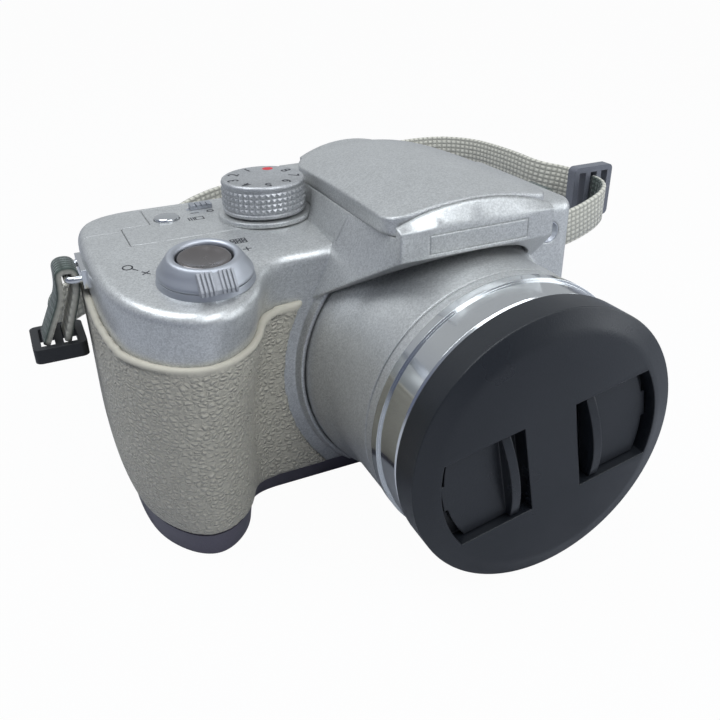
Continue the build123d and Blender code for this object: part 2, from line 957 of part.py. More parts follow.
def trim_ring():
    """Polished ring at the front of the fixed barrel."""
    outline = [
        (trim_bore, barrel_front_y),
        (trim_radius, barrel_front_y),
        (trim_radius, trim_step_y),
        (trim_step_radius, trim_step_y),
        (trim_step_radius, trim_front_y + trim_chamfer),
        (trim_step_radius - trim_chamfer, trim_front_y),
        (trim_bore, trim_front_y),
    ]
    write(ground_cut(turned_y(outline)), "trim_ring")


def barrel_tube(outer, inner, front, back, pad):
    """Sliding tube with a guide flange at its back."""
    outline = [
        (inner, front),
        (outer, front),
        (outer, back - flange_length),
        (pad, back - flange_length),
        (pad, back),
        (inner, back),
    ]
    return turned_y(outline)


def telescopic_barrels():
    """Cam barrel and the two tubes that run out of it."""
    cam = barrel_tube(cam_outer, cam_inner, cam_front_y, cam_back_y, barrel_bore - fit_gap)
    write(cam, "cam_barrel")
    middle = barrel_tube(middle_outer, middle_inner, middle_front_y, middle_back_y,
                         cam_inner - fit_gap)
    write(middle, "middle_barrel")
    front = barrel_tube(front_outer, front_inner, front_front_y, front_back_y,
                        middle_inner - fit_gap)
    front += tube_y(front_inner + slide_gap, lens_seat_radius, lens_seat_y,
                    lens_seat_y + lens_seat_width)
    write(front, "front_barrel")


def lens_form(radius, front, edge, front_bulge, rear_bulge):
    """Round glass with domed faces."""
    back = front + edge
    return turned_y([
        (0, front - front_bulge),
        (radius / 3, front - front_bulge * 8 / 9),
        (radius * 2 / 3, front - front_bulge * 5 / 9),
        (radius, front),
        (radius, back),
        (radius * 2 / 3, back + rear_bulge * 5 / 9),
        (0, back + rear_bulge),
    ])


def glass():
    """Front lens and the glass of the two moving groups."""
    front = lens_form(front_inner - seat_gap, lens_seat_y - front_lens_edge, front_lens_edge,
                      front_lens_bulge, 0)
    write(front, "front_lens")
    zoom = lens_form(zoom_glass_radius, zoom_group_y + glass_inset,
                     zoom_group_length - 2 * glass_inset, glass_inset, glass_inset)
    write(zoom, "zoom_glass")
    focus = lens_form(focus_glass_radius, focus_group_y + glass_inset,
                      focus_group_length - 2 * glass_inset, glass_inset, glass_inset)
    write(focus, "focus_glass")


def carrier(radius, bore, front, length):
    """Lens carrier that runs on the two guide rods."""
    ring = tube_y(radius, bore, front, front + length)
    for side in (-1, 1):
        ring -= round_y(rod_radius + seat_gap, front - overrun, front + length + overrun,
                        side * rod_offset, lens_axis_z)
    return ring


def carriers():
    """Carriers of the zoom and focus groups."""
    write(carrier(carrier_radius, zoom_glass_radius, zoom_group_y, zoom_group_length),
          "zoom_carrier")
    write(carrier(focus_radius, focus_glass_radius, focus_group_y, focus_group_length),
          "focus_carrier")


def guide_rods():
    """Two rods that carry the lens groups."""
    for side, node in ((-1, "guide_rod_left"), (1, "guide_rod_right")):
        rod = round_y(rod_radius, rod_front_y, housing_rear_y, side * rod_offset, lens_axis_z)
        write(rod, node)


def sensor_unit():
    """Image sensor on its back plate."""
    plate = round_y(housing_radius, housing_rear_y, housing_rear_y + sensor_plate, 0, lens_axis_z)
    chip = block(-sensor_half, sensor_half, housing_rear_y - sensor_plate, housing_rear_y,
                 lens_axis_z - sensor_half * sensor_share, lens_axis_z + sensor_half * sensor_share)
    write(plate + chip, "sensor_unit")


def lens_cap():
    """Snap-on lens cap with the band across its face."""
    outline = [
        (0, cap_front_y),
        (cap_disc_radius, cap_front_y),
        (cap_radius, cap_rim_y),
        (cap_radius, cap_back_y),
        (cap_radius - cap_wall, cap_back_y),
        (cap_radius - cap_wall, band_floor_y + cap_floor),
        (cap_seat_radius, band_floor_y + cap_floor),
        (cap_seat_radius, front_front_y - seat_gap),
        (cap_plug_radius, front_front_y - seat_gap),
        (cap_plug_radius, cap_plug_y),
        (cap_plug_radius - cap_plug_wall, cap_plug_y),
        (cap_plug_radius - cap_plug_wall, band_floor_y + cap_floor),
        (0, band_floor_y + cap_floor),
    ]
    cap = cap_place().inverse() * turned_y(outline)
    band = block(-cap_radius, cap_radius, cap_front_y - overrun, band_floor_y, band_low, band_high)
    band = band & round_y(cap_disc_radius - rim_land, cap_front_y - overrun, band_floor_y, 0, 0)
    band -= block(-web_half, web_half, cap_front_y, band_floor_y, band_low, band_high)
    cap -= band
    for side in (-1, 1):
        inner = side * (hook_inner - tab_travel - run_gap)
        outer = side * (hook_outer + run_gap)
        cap -= block(min(inner, outer), max(inner, outer), cap_front_y + cap_floor, front_back_y,
                     -tab_slot_half, tab_slot_half)
    write(cap_place() * cap, "lens_cap")


def cap_tabs():
    """Two pinch tabs of the lens cap, each with its finger fin and hook."""
    front = band_floor_y - tab_gap - tab_thickness
    back = band_floor_y - tab_gap
    for side, node in ((-1, "cap_tab_left"), (1, "cap_tab_right")):
        plate = block(fin_x, tab_reach, front, back, band_low + tab_gap, band_high - tab_gap)
        plate = plate & round_y(tab_reach, front, back, 0, 0)
        middle = (band_low + band_high) / 2
        edge = Polyline(
            (fin_end_y, band_high - tab_gap),
            (back, band_high - tab_gap),
            (back, band_low + tab_gap),
            (fin_end_y, band_low + tab_gap),
        )
        arch = ThreePointArc((fin_end_y, band_low + tab_gap), (fin_crown_y, middle),
                             (fin_end_y, band_high - tab_gap))
        face = Plane.YZ * make_face(edge + arch)
        fin = Pos(fin_x, 0, 0) * extrude(face, fin_thickness)
        hook = block(hook_inner, hook_outer, front, hook_back_y, -hook_half, hook_half)
        tab = plate + fin + hook
        if side < 0:
            tab = mirror(tab, about=Plane.YZ)
        write(cap_place() * tab, node)


def flash_group():
    """Flash lid, the lamp housing in its front and the clear window."""
    height = lid_crown_z + overrun - deck_z
    lid = Pos(0, 0, deck_z + lid_gap) * extrude(lid_outline(0), height)
    lid = lid & lid_crown(0)
    hollow = Pos(0, 0, 0) * extrude(lid_outline(lid_wall), 2 * lid_crown_z)
    lid -= hollow & lid_crown(lid_wall)
    low, high = flash_lug_inner, flash_lug_inner + flash_ear_thickness
    for side in (-1, 1):
        x_low, x_high = sorted((hump_x + side * low, hump_x + side * high))
        lug = round_x(flash_lug_radius, x_low, x_high, flash_pin_y, flash_pin_z)
        lug += block(x_low, x_high, flash_pin_y - flash_lug_radius, flash_pin_y + flash_lug_radius,
                     flash_pin_z, lid_rear_crown_z - lid_wall + slide_gap)
        lid += lug & lid_crown(lid_wall / 2)
        inner, outer = sorted((hump_x + side * (flash_ear_half - run_gap),
                               hump_x + side * (flash_ear_half + flash_ear_thickness + run_gap)))
        lid -= round_x(flash_ear_radius + run_gap, inner, outer, flash_pin_y, flash_pin_z)
    lid -= round_x(flash_pin_radius + seat_gap, hump_x - high, hump_x + high, flash_pin_y,
                   flash_pin_z)
    lid -= profile_yz(
        [
            (lid_heel_y, deck_z),
            (lid_heel_y, deck_z + lid_gap),
            (lid_rear_y, lid_heel_z),
            (lid_rear_y + overrun, lid_heel_z),
            (lid_rear_y + overrun, deck_z),
        ],
        hump_x - hump_base_half,
        hump_x + hump_base_half,
    )
    opening = block(hump_x - flash_half, hump_x + flash_half, lid_front_y - overrun,
                    flash_back_y, deck_z - overrun, window_high_z)
    lid -= opening
    write(lid, "flash_lid")
    housing = block(hump_x - flash_half, hump_x + flash_half, flash_front_y + window_thickness,
                    flash_back_y, flash_low_z, window_high_z)
    housing -= block(hump_x - window_half, hump_x + window_half, flash_front_y,
                     (flash_front_y + flash_back_y) / 2, flash_low_z + window_thickness,
                     window_high_z - window_thickness)
    write(housing, "flash_housing")
    window = block(hump_x - flash_half, hump_x + flash_half, flash_front_y,
                   flash_front_y + window_thickness, flash_low_z, window_high_z)
    write(window, "flash_window")
    pin = round_x(flash_pin_radius, hump_x - high, hump_x + high, flash_pin_y, flash_pin_z)
    write(pin, "flash_hinge_pin")


def mode_dial():
    """Turning dial with grooves round its edge, and the fixed ring under it."""
    dial = turned_z([
        (0, dial_low_z),
        (dial_radius, dial_low_z),
        (dial_radius, dial_top_z - dial_bevel),
        (dial_radius - dial_bevel, dial_top_z),
        (dial_face_radius, dial_top_z),
        (dial_face_radius - dial_face_depth, dial_top_z - dial_face_depth),
        (0, dial_top_z - dial_face_depth),
    ])
    tooth = Pos(dial_radius + knurl_depth, 0, (dial_low_z + dial_top_z) / 2)
    cutter = tooth * Rot(0, 0, 45) * Box(2 * knurl_depth, 2 * knurl_depth, knurl_height)
    cutters = [Rot(0, 0, 360 * n / knurl_count) * cutter for n in range(knurl_count)]
    dial -= Compound(children=cutters)
    dial += round_z(dial_spindle_radius, shoulder_z - 2 * wall, dial_low_z, 0, 0)
    write(Pos(dial_x, dial_y, 0) * dial, "mode_dial")
    ring = round_z(dial_ring_radius, shoulder_z, shoulder_z + dial_ring_height, dial_x, dial_y)
    ring -= round_z(dial_spindle_radius + slide_gap, shoulder_z, deck_z, dial_x, dial_y)
    write(ring, "dial_ring")


def zoom_ring():
    """Zoom ring with its ribbed tab, and the collar it turns on."""
    collar = turned_z([
        (ring_bore + overrun, 0),
        (ring_base_radius, 0),
        (ring_foot_radius, ring_base_height),
        (ring_bore + overrun, ring_base_height),
    ])
    collar += Pos(0, 0, ring_base_height / 4) * Cylinder(ring_bore + overrun, ring_base_height / 2)
    collar -= Cylinder(shutter_stem_radius + slide_gap, 4 * wall)
    write(ring_place() * collar, "ring_collar")
    low = ring_base_height + slide_gap
    ring = turned_z([
        (ring_bore, ring_base_height / 2 + slide_gap),
        (ring_bore + overrun - slide_gap, ring_base_height / 2 + slide_gap),
        (ring_bore + overrun - slide_gap, low),
        (ring_foot_radius, low),
        (ring_lip_radius, ring_height - ring_round),
        (ring_lip_radius - ring_round, ring_height),
        (ring_bore, ring_height),
    ])
    edge = ring_foot_radius + ring_tab_reach
    shelf = low + ring_rib_depth
    slope = [(-edge, low), (-edge, shelf), (-ring_lip_radius, ring_tab_z), (-ring_lip_radius, low)]
    tab = profile_yz(slope, -ring_tab_half, ring_tab_half)
    inner = [
        (-edge - overrun, low),
        (-edge + ring_rib_depth, low),
        (-edge + ring_rib_depth, shelf),
        (-ring_lip_radius + overrun / 4, ring_tab_z - ring_rib_depth / 4),
        (-ring_lip_radius + overrun / 4, ring_tab_z + overrun),
        (-edge - overrun, ring_tab_z + overrun),
    ]
    rib = ring_tab_half / 4
    for n in (1, 2, 4, 6, 7):
        x = -ring_tab_half + n * rib
        tab -= profile_yz(inner, x - rib / 4, x + rib / 4)
    ring += tab
    write(ring_place() * ring, "zoom_ring")
    button = turned_z([
        (0, ring_base_height / 2 + shutter_travel + slide_gap),
        (shutter_radius, ring_base_height / 2 + shutter_travel + slide_gap),
        (shutter_radius, shutter_height),
        (shutter_radius * 3 / 4, shutter_height - shutter_dish / 2),
        (0, shutter_height - shutter_dish),
    ])
    button += Pos(0, 0, -shutter_stem / 2 + shutter_travel) * Cylinder(
        shutter_stem_radius, shutter_stem + 2 * shutter_travel)
    write(ring_place() * button, "shutter_button")


def top_controls():
    """Burst button, power switch and flash button."""
    burst = round_z(burst_radius, burst_low_z, shoulder_z + burst_rise, burst_x, burst_y)
    burst += round_z(burst_stem_radius, shoulder_z - 2 * wall, burst_low_z, burst_x, burst_y)
    write(burst, "burst_button")
    knob = block(switch_x - switch_length / 2, switch_x + switch_length / 2,
                 switch_y - switch_width / 2, switch_y + switch_width / 2,
                 shoulder_z + seat_gap, shoulder_z + switch_rise)
    grooves = [
        block(x - slide_gap, x + slide_gap, switch_y - switch_width, switch_y + switch_width,
              shoulder_z + switch_rise / 2, shoulder_z + switch_rise)
        for x in (switch_x - switch_length / 4, switch_x, switch_x + switch_length / 4)
    ]
    for groove in grooves:
        knob -= groove
    knob += block(switch_x - switch_stem, switch_x + switch_stem, switch_y - switch_stem + slide_gap,
                  switch_y + switch_stem - slide_gap, shoulder_z - 2 * wall,
                  shoulder_z + seat_gap)
    write(knob, "power_switch")
    flash = round_z(flash_button_radius, shoulder_z - 2 * wall, shoulder_z + button_travel + seat_gap,
                    flash_button_x, flash_button_y)
    write(flash, "flash_button")


def lamp():
    """Clear cover of the focus-assist lamp."""
    cover = round_y(lamp_radius - seat_gap, front_y, front_y + lamp_depth, lamp_x, lamp_z)
    write(cover, "lamp_lens")


def screen():
    """Screen window and the display behind it."""
    window = block(screen_x - screen_half_width + seat_gap, screen_x + screen_half_width - seat_gap,
                   rear_y - window_depth, rear_y, screen_z - screen_half_height + seat_gap,
                   screen_z + screen_half_height - seat_gap)
    write(window, "screen_window")
    inner_half = screen_half_width - screen_frame - seat_gap
    inner_height = screen_half_height - screen_frame - seat_gap
    display = block(screen_x - inner_half, screen_x + inner_half,
                    rear_y - window_depth - display_depth, rear_y - window_depth,
                    screen_z - inner_height, screen_z + inner_height)
    write(display, "screen_display")


def finder():
    """Electronic finder, its eyepiece glass and the rubber eyecup."""
    box = block(eye_x - eye_bore_half - finder_wall, eye_x + eye_bore_half + finder_wall,
                rear_y - wall - finder_depth, rear_y - wall, eye_z - eye_bore_height - finder_wall,
                deck_z - deck_thickness)
    box -= block(eye_x - eye_bore_half, eye_x + eye_bore_half, rear_y - finder_depth / 2, rear_y,
                 eye_z - eye_bore_height, eye_z + eye_bore_height)
    write(box, "finder_unit")
    glass_form = block(eye_x - eye_bore_half + seat_gap, eye_x + eye_bore_half - seat_gap,
                       rear_y - wall, rear_y - wall / 3, eye_z - eye_bore_height + seat_gap,
                       eye_z + eye_bore_height - seat_gap)
    write(glass_form, "eyepiece_lens")
    outline = RectangleRounded(2 * eye_half_width, 2 * eye_half_height, eye_corner)
    inside = RectangleRounded(2 * eye_bore_half + overrun, 2 * eye_bore_height + overrun,
                              eye_corner / 2)
    cup = Plane.XZ * (outline - inside)
    cup = Pos(eye_x, rear_y + eye_depth, eye_z) * extrude(cup, eye_depth)
    write(cup, "eyecup")


def rear_controls():
    """Cursor pad, set button and the small round buttons on the rear."""
    pad = round_y(pad_radius, rear_y - pad_recess + pad_lift, rear_y + pad_rise, pad_x, pad_z)
    pad += block(pad_x - pad_radius * 3 / 4, pad_x + pad_radius * 3 / 4,
                 rear_y - pad_recess + seat_gap, rear_y - pad_recess + pad_lift, pad_z - seat_gap * 6,
                 pad_z + seat_gap * 6)
    pad -= round_y(pad_inner, rear_y - overrun, rear_y + overrun, pad_x, pad_z)
    write(pad, "cursor_pad")
    back = rear_y - wall - seat_gap
    button = round_y(pad_inner - run_gap, back, rear_y + pad_rise + seat_gap, pad_x, pad_z)
    button += round_y(pad_inner + button_rim, back - button_flange, back, pad_x, pad_z)
    write(button, "set_button")
    for name, x, z in round_buttons():
        button = round_y(rear_button_radius, back, rear_y + rear_button_rise, x, z)
        button += round_y(rear_button_radius + button_rim, back - button_flange, back, x, z)
        write(button, name)


def side_door():
    """Hinged door over the sockets, with its two stub pins."""
    gap = 0
    door = side_door_block(gap, wall)
    low, high = side_door_low_z, side_door_high_z
    rear = side_door_y + side_door_half
    pin_y = rear - wall / 2
    door -= block(right_x - wall, right_x, pin_y, rear, low, high)
    door += round_z(wall / 2, low, high, right_x - wall / 2, pin_y)
    door += round_z(side_pin_radius, low - side_pin_reach, high + side_pin_reach,
                    right_x - wall / 2, pin_y)
    write(door, "side_door")


def lugs():
    """Steel strap lugs in the two sides."""
    for side, node in ((-1, "lug_left"), (1, "lug_right")):
        edge = left_x if side < 0 else right_x
        foot = lug_block(side)
        middle = edge + side * lug_reach
        reach = lug_plate_half - lug_wire
        loop = FilletPolyline(
            (edge, lug_y - reach, lug_z),
            (middle, lug_y - reach, lug_z),
            (middle, lug_y + reach, lug_z),
            (edge, lug_y + reach, lug_z),
            radius=lug_wire * 3 / 2,
        )
        section = Plane(origin=(edge, lug_y - reach, lug_z), z_dir=(side, 0, 0)) * Circle(lug_wire)
        lug = foot + sweep(section, path=loop)
        write(lug, node)


def strap_band(points, width, thickness):
    """Webbing on edge along a route, as straight runs joined by tangent arcs."""
    vectors = [Vector(*point) for point in points]
    radii = []
    for before, corner, after in zip(vectors, vectors[1:], vectors[2:]):
        turn = (corner - before).get_angle(after - corner)
        run = min((corner - before).length, (after - corner).length)
        radii.append(arc_share * run / math.tan(math.radians(turn / 2)))
    path = FilletPolyline(*points, radius=radii)
    heading = vectors[1] - vectors[0]
    across = heading.cross(Vector(0, 0, 1)).normalized()
    start = Plane(origin=points[0], x_dir=across, z_dir=heading)
    band = sweep(start * Rectangle(thickness, width), path=path)
    share = band.volume / (path.length * width * thickness)
    print("strap length", round(path.length), "volume share", round(share, 3))
    print("strap radii", [round(radius, 1) for radius in radii])
    return band


def folded_end(side):
    """Webbing folded over a lug, with its two legs hanging down to the slide."""
    middle = (left_x if side < 0 else right_x) + side * lug_reach
    outer = fold_inner + strap_thickness
    outline = Polyline(*[(middle + side * x, lug_z - z) for x, z in fold_outer_leg])
    outline += Polyline(*[(middle + side * x, lug_z - z) for x, z in fold_inner_leg])
    outline += Line(outline_point(middle, side, fold_outer_leg[-1]),
                    outline_point(middle, side, fold_inner_leg[0]))
    outline += ThreePointArc(outline_point(middle, side, fold_outer_leg[0]),
                             (middle, lug_z + outer),
                             outline_point(middle, side, fold_far_outer[0]))
    outline += Polyline(*[(middle + side * x, lug_z - z) for x, z in fold_far_outer])
    outline += Line(outline_point(middle, side, fold_far_outer[-1]),
                    outline_point(middle, side, fold_far_inner[0]))
    outline += Polyline(*[(middle + side * x, lug_z - z) for x, z in fold_far_inner])
    outline += ThreePointArc(outline_point(middle, side, fold_far_inner[-1]),
                             (middle, lug_z + fold_inner),
                             outline_point(middle, side, fold_inner_leg[-1]))
    face = Plane.XZ * make_face(outline)
    half = strap_end_width / 2
    return Pos(0, lug_y + half, 0) * extrude(face, strap_end_width)


def outline_point(middle, side, offset):
    """Point of a folded end beside a lug."""
    return (middle + side * offset[0], lug_z - offset[1])


def slide_plate(long, wide, thick, windows):
    """Flat strap slide with a row of windows, lying in the XY plane."""
    plate = Pos(0, 0, -thick / 2) * extrude(RectangleRounded(long, wide, slide_corner), thick)
    pitch = (long - buckle_bar) / windows
    for n in range(windows):
        x = -long / 2 + buckle_bar + n * pitch + (pitch - buckle_bar) / 2
        plate -= Pos(x, 0, 0) * Box(pitch - buckle_bar, wide - 2 * buckle_bar, 2 * thick)
    return plate


def strap():
    """Neck strap, with its two folded ends and its two slides."""
    write(strap_band(strap_route, strap_width, strap_thickness), "strap_webbing")
    write(folded_end(-1), "strap_end_left")
    slide = slide_plate(left_slide_long, left_slide_wide, left_slide_thick, 2)
    write(Pos(*left_slide_centre) * slide, "strap_slide_left")
    link = strap_band(right_link_route, strap_width, strap_thickness)
    write(folded_end(1) + link, "strap_end_right")
    slide = slide_plate(right_slide_long, right_slide_wide, left_slide_thick, 3)
    write(Pos(*right_slide_centre) * Rot(90, 0, 0) * slide, "strap_slide_right")


def tripod_socket():
    """Threaded tripod socket."""
    socket = round_z(socket_radius, 0, socket_height_z, 0, 0)
    socket -= round_z(socket_bore, 0, socket_bore_depth, 0, 0)
    write(socket, "tripod_socket")


def battery_group():
    """Battery, memory card, and the hinged door that holds them in."""
    battery = block(battery_right_x - battery_width, battery_right_x, battery_front_y,
                    battery_front_y + battery_depth, battery_low_z, shoulder_z - battery_room)
    write(battery, "battery")
    card = block(card_left(), card_left() + card_thickness, card_front_y,
                 card_front_y + card_depth, battery_low_z, battery_low_z + card_height)
    write(card, "memory_card")
    knuckle = door_pin_z - door_low_z
    left, right = door_left_x + door_gap, door_right_x - door_gap
    door = block(left, right, door_front_y + door_gap, door_pin_y, door_low_z,
                 door_low_z + door_thickness)
    door += round_x(knuckle, left, right, door_pin_y, door_pin_z)
    door -= round_x(door_pin_radius + seat_gap, left, right, door_pin_y, door_pin_z)
    latch_x = (door_left_x + door_right_x) / 2
    slot_back = latch_front_y + latch_length + latch_travel
    door -= block(latch_x - latch_width / 2 - slide_gap, latch_x + latch_width / 2 + slide_gap,
                  latch_front_y - slide_gap, slot_back + slide_gap, door_low_z,
                  door_low_z + door_thickness)
    write(door, "battery_door")
    top = door_low_z + door_thickness + seat_gap
    latch = block(latch_x - latch_width / 2, latch_x + latch_width / 2, latch_front_y,
                  latch_front_y + latch_length, door_low_z + slide_gap, top)
    latch += block(latch_x - latch_width, latch_x + latch_width, latch_front_y,
                   latch_front_y + latch_length, top, top + latch_plate)
    write(latch, "door_latch")
    pin = round_x(door_pin_radius, door_left_x - boss_length, door_right_x + boss_length,
                  door_pin_y, door_pin_z)
    write(pin, "door_hinge_pin")


def main_board():
    """Main circuit board on the posts of the rear cover."""
    board = block(post_left_x - 2 * post_radius, post_right_x + post_radius, board_y,
                  board_y + board_thickness, post_low_z - 2 * post_radius,
                  post_high_z + 2 * post_radius)
    chips = [
        block(x - chip_half, x + chip_half, board_y - chip_height, board_y, z - chip_half,
              z + chip_half)
        for x, z in ((post_left_x / 2, post_low_z * 2), (post_right_x / 2, post_high_z * 3 / 4))
    ]
    for chip in chips:
        board += chip
    write(board, "main_board")


os.makedirs("parts", exist_ok=True)
for make in (front_cover, rear_cover, top_panel, base_plate, grip_skin, nose_plate, fixed_barrel,
             trim_ring, telescopic_barrels, glass, carriers, guide_rods, sensor_unit, lens_cap,
             cap_tabs, flash_group, mode_dial, zoom_ring, top_controls, lamp, screen, finder,
             rear_controls, side_door, lugs, strap, tripod_socket, battery_group, main_board):
    make()
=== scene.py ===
"""Bridge camera with a capped long lens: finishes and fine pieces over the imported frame."""

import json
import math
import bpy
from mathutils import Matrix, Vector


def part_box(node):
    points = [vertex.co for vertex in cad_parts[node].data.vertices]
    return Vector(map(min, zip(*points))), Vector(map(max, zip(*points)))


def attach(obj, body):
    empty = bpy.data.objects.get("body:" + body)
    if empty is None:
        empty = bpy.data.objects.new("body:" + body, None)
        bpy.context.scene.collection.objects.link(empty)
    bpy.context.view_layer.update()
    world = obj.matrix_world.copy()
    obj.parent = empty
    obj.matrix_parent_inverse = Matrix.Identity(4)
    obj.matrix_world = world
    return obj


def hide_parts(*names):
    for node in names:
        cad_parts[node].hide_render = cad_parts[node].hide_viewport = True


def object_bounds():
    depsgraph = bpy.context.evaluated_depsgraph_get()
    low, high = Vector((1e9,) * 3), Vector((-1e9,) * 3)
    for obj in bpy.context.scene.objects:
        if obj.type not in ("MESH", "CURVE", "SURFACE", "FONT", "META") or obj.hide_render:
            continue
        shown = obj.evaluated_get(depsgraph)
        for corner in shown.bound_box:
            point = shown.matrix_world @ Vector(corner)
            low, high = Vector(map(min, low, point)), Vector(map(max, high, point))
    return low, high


bl_info = {
    "name": "Bridge Camera",
    "version": (1, 0, 0),
    "blender": (4, 5, 0),
    "location": "3D View > Sidebar > Camera",
    "description": "Dresses the frame of a bridge camera with its finishes and fine pieces",
    "category": "Object",
}

import bmesh
import bpy
from bpy.props import FloatProperty, FloatVectorProperty, IntProperty, PointerProperty
from bpy.types import Operator, Panel, PropertyGroup
from mathutils import Matrix, Vector
from mathutils.bvhtree import BVHTree
from mathutils.kdtree import KDTree

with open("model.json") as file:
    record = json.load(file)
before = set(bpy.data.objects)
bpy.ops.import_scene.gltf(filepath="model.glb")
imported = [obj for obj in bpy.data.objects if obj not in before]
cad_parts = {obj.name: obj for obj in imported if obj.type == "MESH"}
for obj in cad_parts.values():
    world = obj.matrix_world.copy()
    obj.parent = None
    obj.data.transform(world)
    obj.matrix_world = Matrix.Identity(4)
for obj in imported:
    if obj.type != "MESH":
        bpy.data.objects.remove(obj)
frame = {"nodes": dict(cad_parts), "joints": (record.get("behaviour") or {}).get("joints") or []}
CAD_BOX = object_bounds()

MM = 0.001
# Colour sockets of a Mix node, whose names repeat
MIX_FACTOR, MIX_A, MIX_B, MIX_RESULT = 0, 6, 7, 2

# Photograph's camera: place in millimetres, angles in degrees, focal length on a 36 mm sensor
PHOTO_PLACE = (-81.49, -159.16, 115.35)
PHOTO_AZIMUTH = -24.31
PHOTO_ELEVATION = 28.67
PHOTO_ROLL = -1.18
PHOTO_LENS = 38.6

# Soft square lamps: place and target in millimetres, side in metres
KEY_LAMP = ((-230, 60, 540), (0, 0, 40), 0.35)
FRONT_LAMP = ((80, -280, 430), (0, -10, 40), 0.3)
WINDOW_LAMP = ((450, -260, 110), (0, -40, 45), 0.45)
# Lamps' colour, a little cooler than white
LAMP_TINT = (0.90, 0.95, 1.0)
# Direction from which the backdrop's light comes, and its strength on surfaces that don't mirror it
BACKDROP_SIDE = (0.60, 0.40, 0.69)
BACKDROP_STRENGTH = 0.8
# Half of the floor's side in metres, and how far its shadow is lifted towards white
FLOOR_REACH = 3.0
FLOOR_GLOW = 0.97

# Joint whose place and axis are the tilted seat of the zoom ring and the shutter button
RING_JOINT = "zoom_ring_turn"

# Neck strap's route behind the camera, in millimetres
STRAP_ROUTE = (
    (-79.3, 9.2, 40.2),
    (-79.3, 19.0, 40.2),
    (-72.0, 29.5, 39.0),
    (-57.0, 33.5, 43.0),
    (-39.5, 46.5, 50.0),
    (-15.0, 58.0, 50.0),
    (17.0, 70.4, 50.0),
    (49.0, 78.2, 50.0),
    (64.0, 69.0, 50.0),
    (66.5, 48.0, 50.0),
    (67.5, 34.0, 49.0),
    (75.5, 29.0, 47.5),
    (75.5, 21.1, 47.5),
)
# Short link from the fold at the right lug to the right slide, in millimetres
LINK_ROUTE = (
    (48.4, 3.0, 43.5),
    (57.0, 3.5, 43.5),
    (75.5, 9.0, 47.5),
    (75.5, 17.9, 47.5),
)
# Where the webbing hangs on the two lugs, in millimetres
LUG_Y = 3.0
LUG_Z = 55.2
LEFT_LUG_X = -75.2
RIGHT_LUG_X = 44.0
# Route of a folded strap end: distance outward from its lug and depth below it, in millimetres
FOLD_ROUTE = ((6.65, 13.6), (4.4, 8.9), (2.2, 4.6), (1.75, 1.2), (1.75, -1.75), (-1.75, -1.75),
              (-1.75, 1.2), (-0.9, 4.6), (0.7, 8.9), (2.35, 13.6))

# Lowest height of the grip's rolled edge
ROLL_LOW = 22.0 * MM
# Most points that the rolled edge is followed by, and the distance between them
RIM_POINTS = 20000
RIM_STEP = 0.4 * MM

# The dial, in millimetres: its height over its foot, its wall's distance inside the rim, its stem
DIAL_HEIGHT = 7.3
DIAL_WALL_INSET = 0.45
DIAL_STEM_RADIUS = 2.3
DIAL_STEM_DEPTH = 5.0
# Height of one knurled point over the dial's wall
KNURL_RISE = 0.42 * MM
# Marks of the dial's face: turn of the accent mark from +X in degrees, the rest in millimetres
ACCENT_TURN = 62
ACCENT_INSET = 2.8
ACCENT_RADIUS = 1.25
NUMBER_INSET = 2.75
NUMBER_LIFT = 0.012

# Outlines of the zoom ring and the shutter button: (radius, height) over their tilted seat, in millimetres
RING_WALL = ((5.6, 0.9), (9.3, 1.5), (9.28, 1.9), (9.15, 2.15), (7.35, 4.7), (7.2, 4.95),
             (6.95, 5.14), (6.6, 5.2), (6.2, 5.17), (5.85, 5.0), (5.65, 4.7), (5.6, 4.3),
             (5.6, 0.9))
SHUTTER_DISH = ((0, 1.7), (5.25, 1.7), (5.25, 4.2), (5.2, 4.42), (5.05, 4.56), (4.8, 4.6),
                (4.5, 4.55), (4.0, 4.38), (3.3, 4.18), (2.4, 4.02), (1.2, 3.93), (0, 3.9))
SHUTTER_STEM = ((0, -1.8), (1.5, -1.8), (1.5, 1.8), (0, 1.8))
# The ring's tab and one of its ribs: (distance towards the front, height), in millimetres
TAB_SLOPE = ((-9.95, 1.5), (-9.95, 2.3), (-7.3, 4.75), (-6.9, 4.75), (-6.9, 1.5))
TAB_RIB = ((-10.25, 1.55), (-10.25, 2.5), (-10.05, 2.8), (-7.75, 5.0), (-7.4, 5.1), (-7.0, 4.95),
           (-7.0, 1.55))
TAB_HALF = 3.6
FIRST_RIB = 0.85
# Dome of the burst button, in millimetres
BURST_RADIUS = 2.8
BURST_CROWN = 0.75
BURST_SKIRT = 0.4

# Dust plate of the power switch: its reach past the knob, its spare side, its depth and its sheet
PLATE_REACH = 3.0 * MM
PLATE_SIDE = 0.3 * MM
PLATE_DEPTH = 1.25 * MM
PLATE_SHEET = 0.15 * MM

# Places of the printed marks on the top (x, y) and at the rear (x, z), in millimetres
FAR_MARK = (-64.2, -10.6)
CROSS_MARK = (-61.3, -14.1)
WIDE_MARK = (-41.6, -7.6)
PLUS_MARK = (-39.8, -11.2)
BURST_MARK = (-46.6, 10.5)
OFF_MARK = (-44.3, 14.6)
ON_MARK = (-40.6, 14.6)
TRAVEL_MARK = (-51.6, -6.0)
DISPLAY_MARK = (-37.1, 44.3)
DELETE_MARK = (-52.8, 44.3)
EXPOSURE_MARK = (-44.2, 49.3)
PAD_MIDDLE = (-46.5, 23.0)
PAD_ARROW = ((-0.7, 5.8), (0, 6.5), (0.7, 5.8))
# Width of the printed strokes, and how far they stand over and reach into the surface
STROKE = 0.3
PAD_STROKE = 0.25
STROKE_LIFT = 0.015
STROKE_DEPTH = 0.02


def linear(code):
    """Linear colour of an sRGB hex value."""
    channels = [int(code[n:n + 2], 16) / 255 for n in (0, 2, 4)]
    return tuple(c / 12.92 if c <= 0.04045 else ((c + 0.055) / 1.055) ** 2.4 for c in channels)


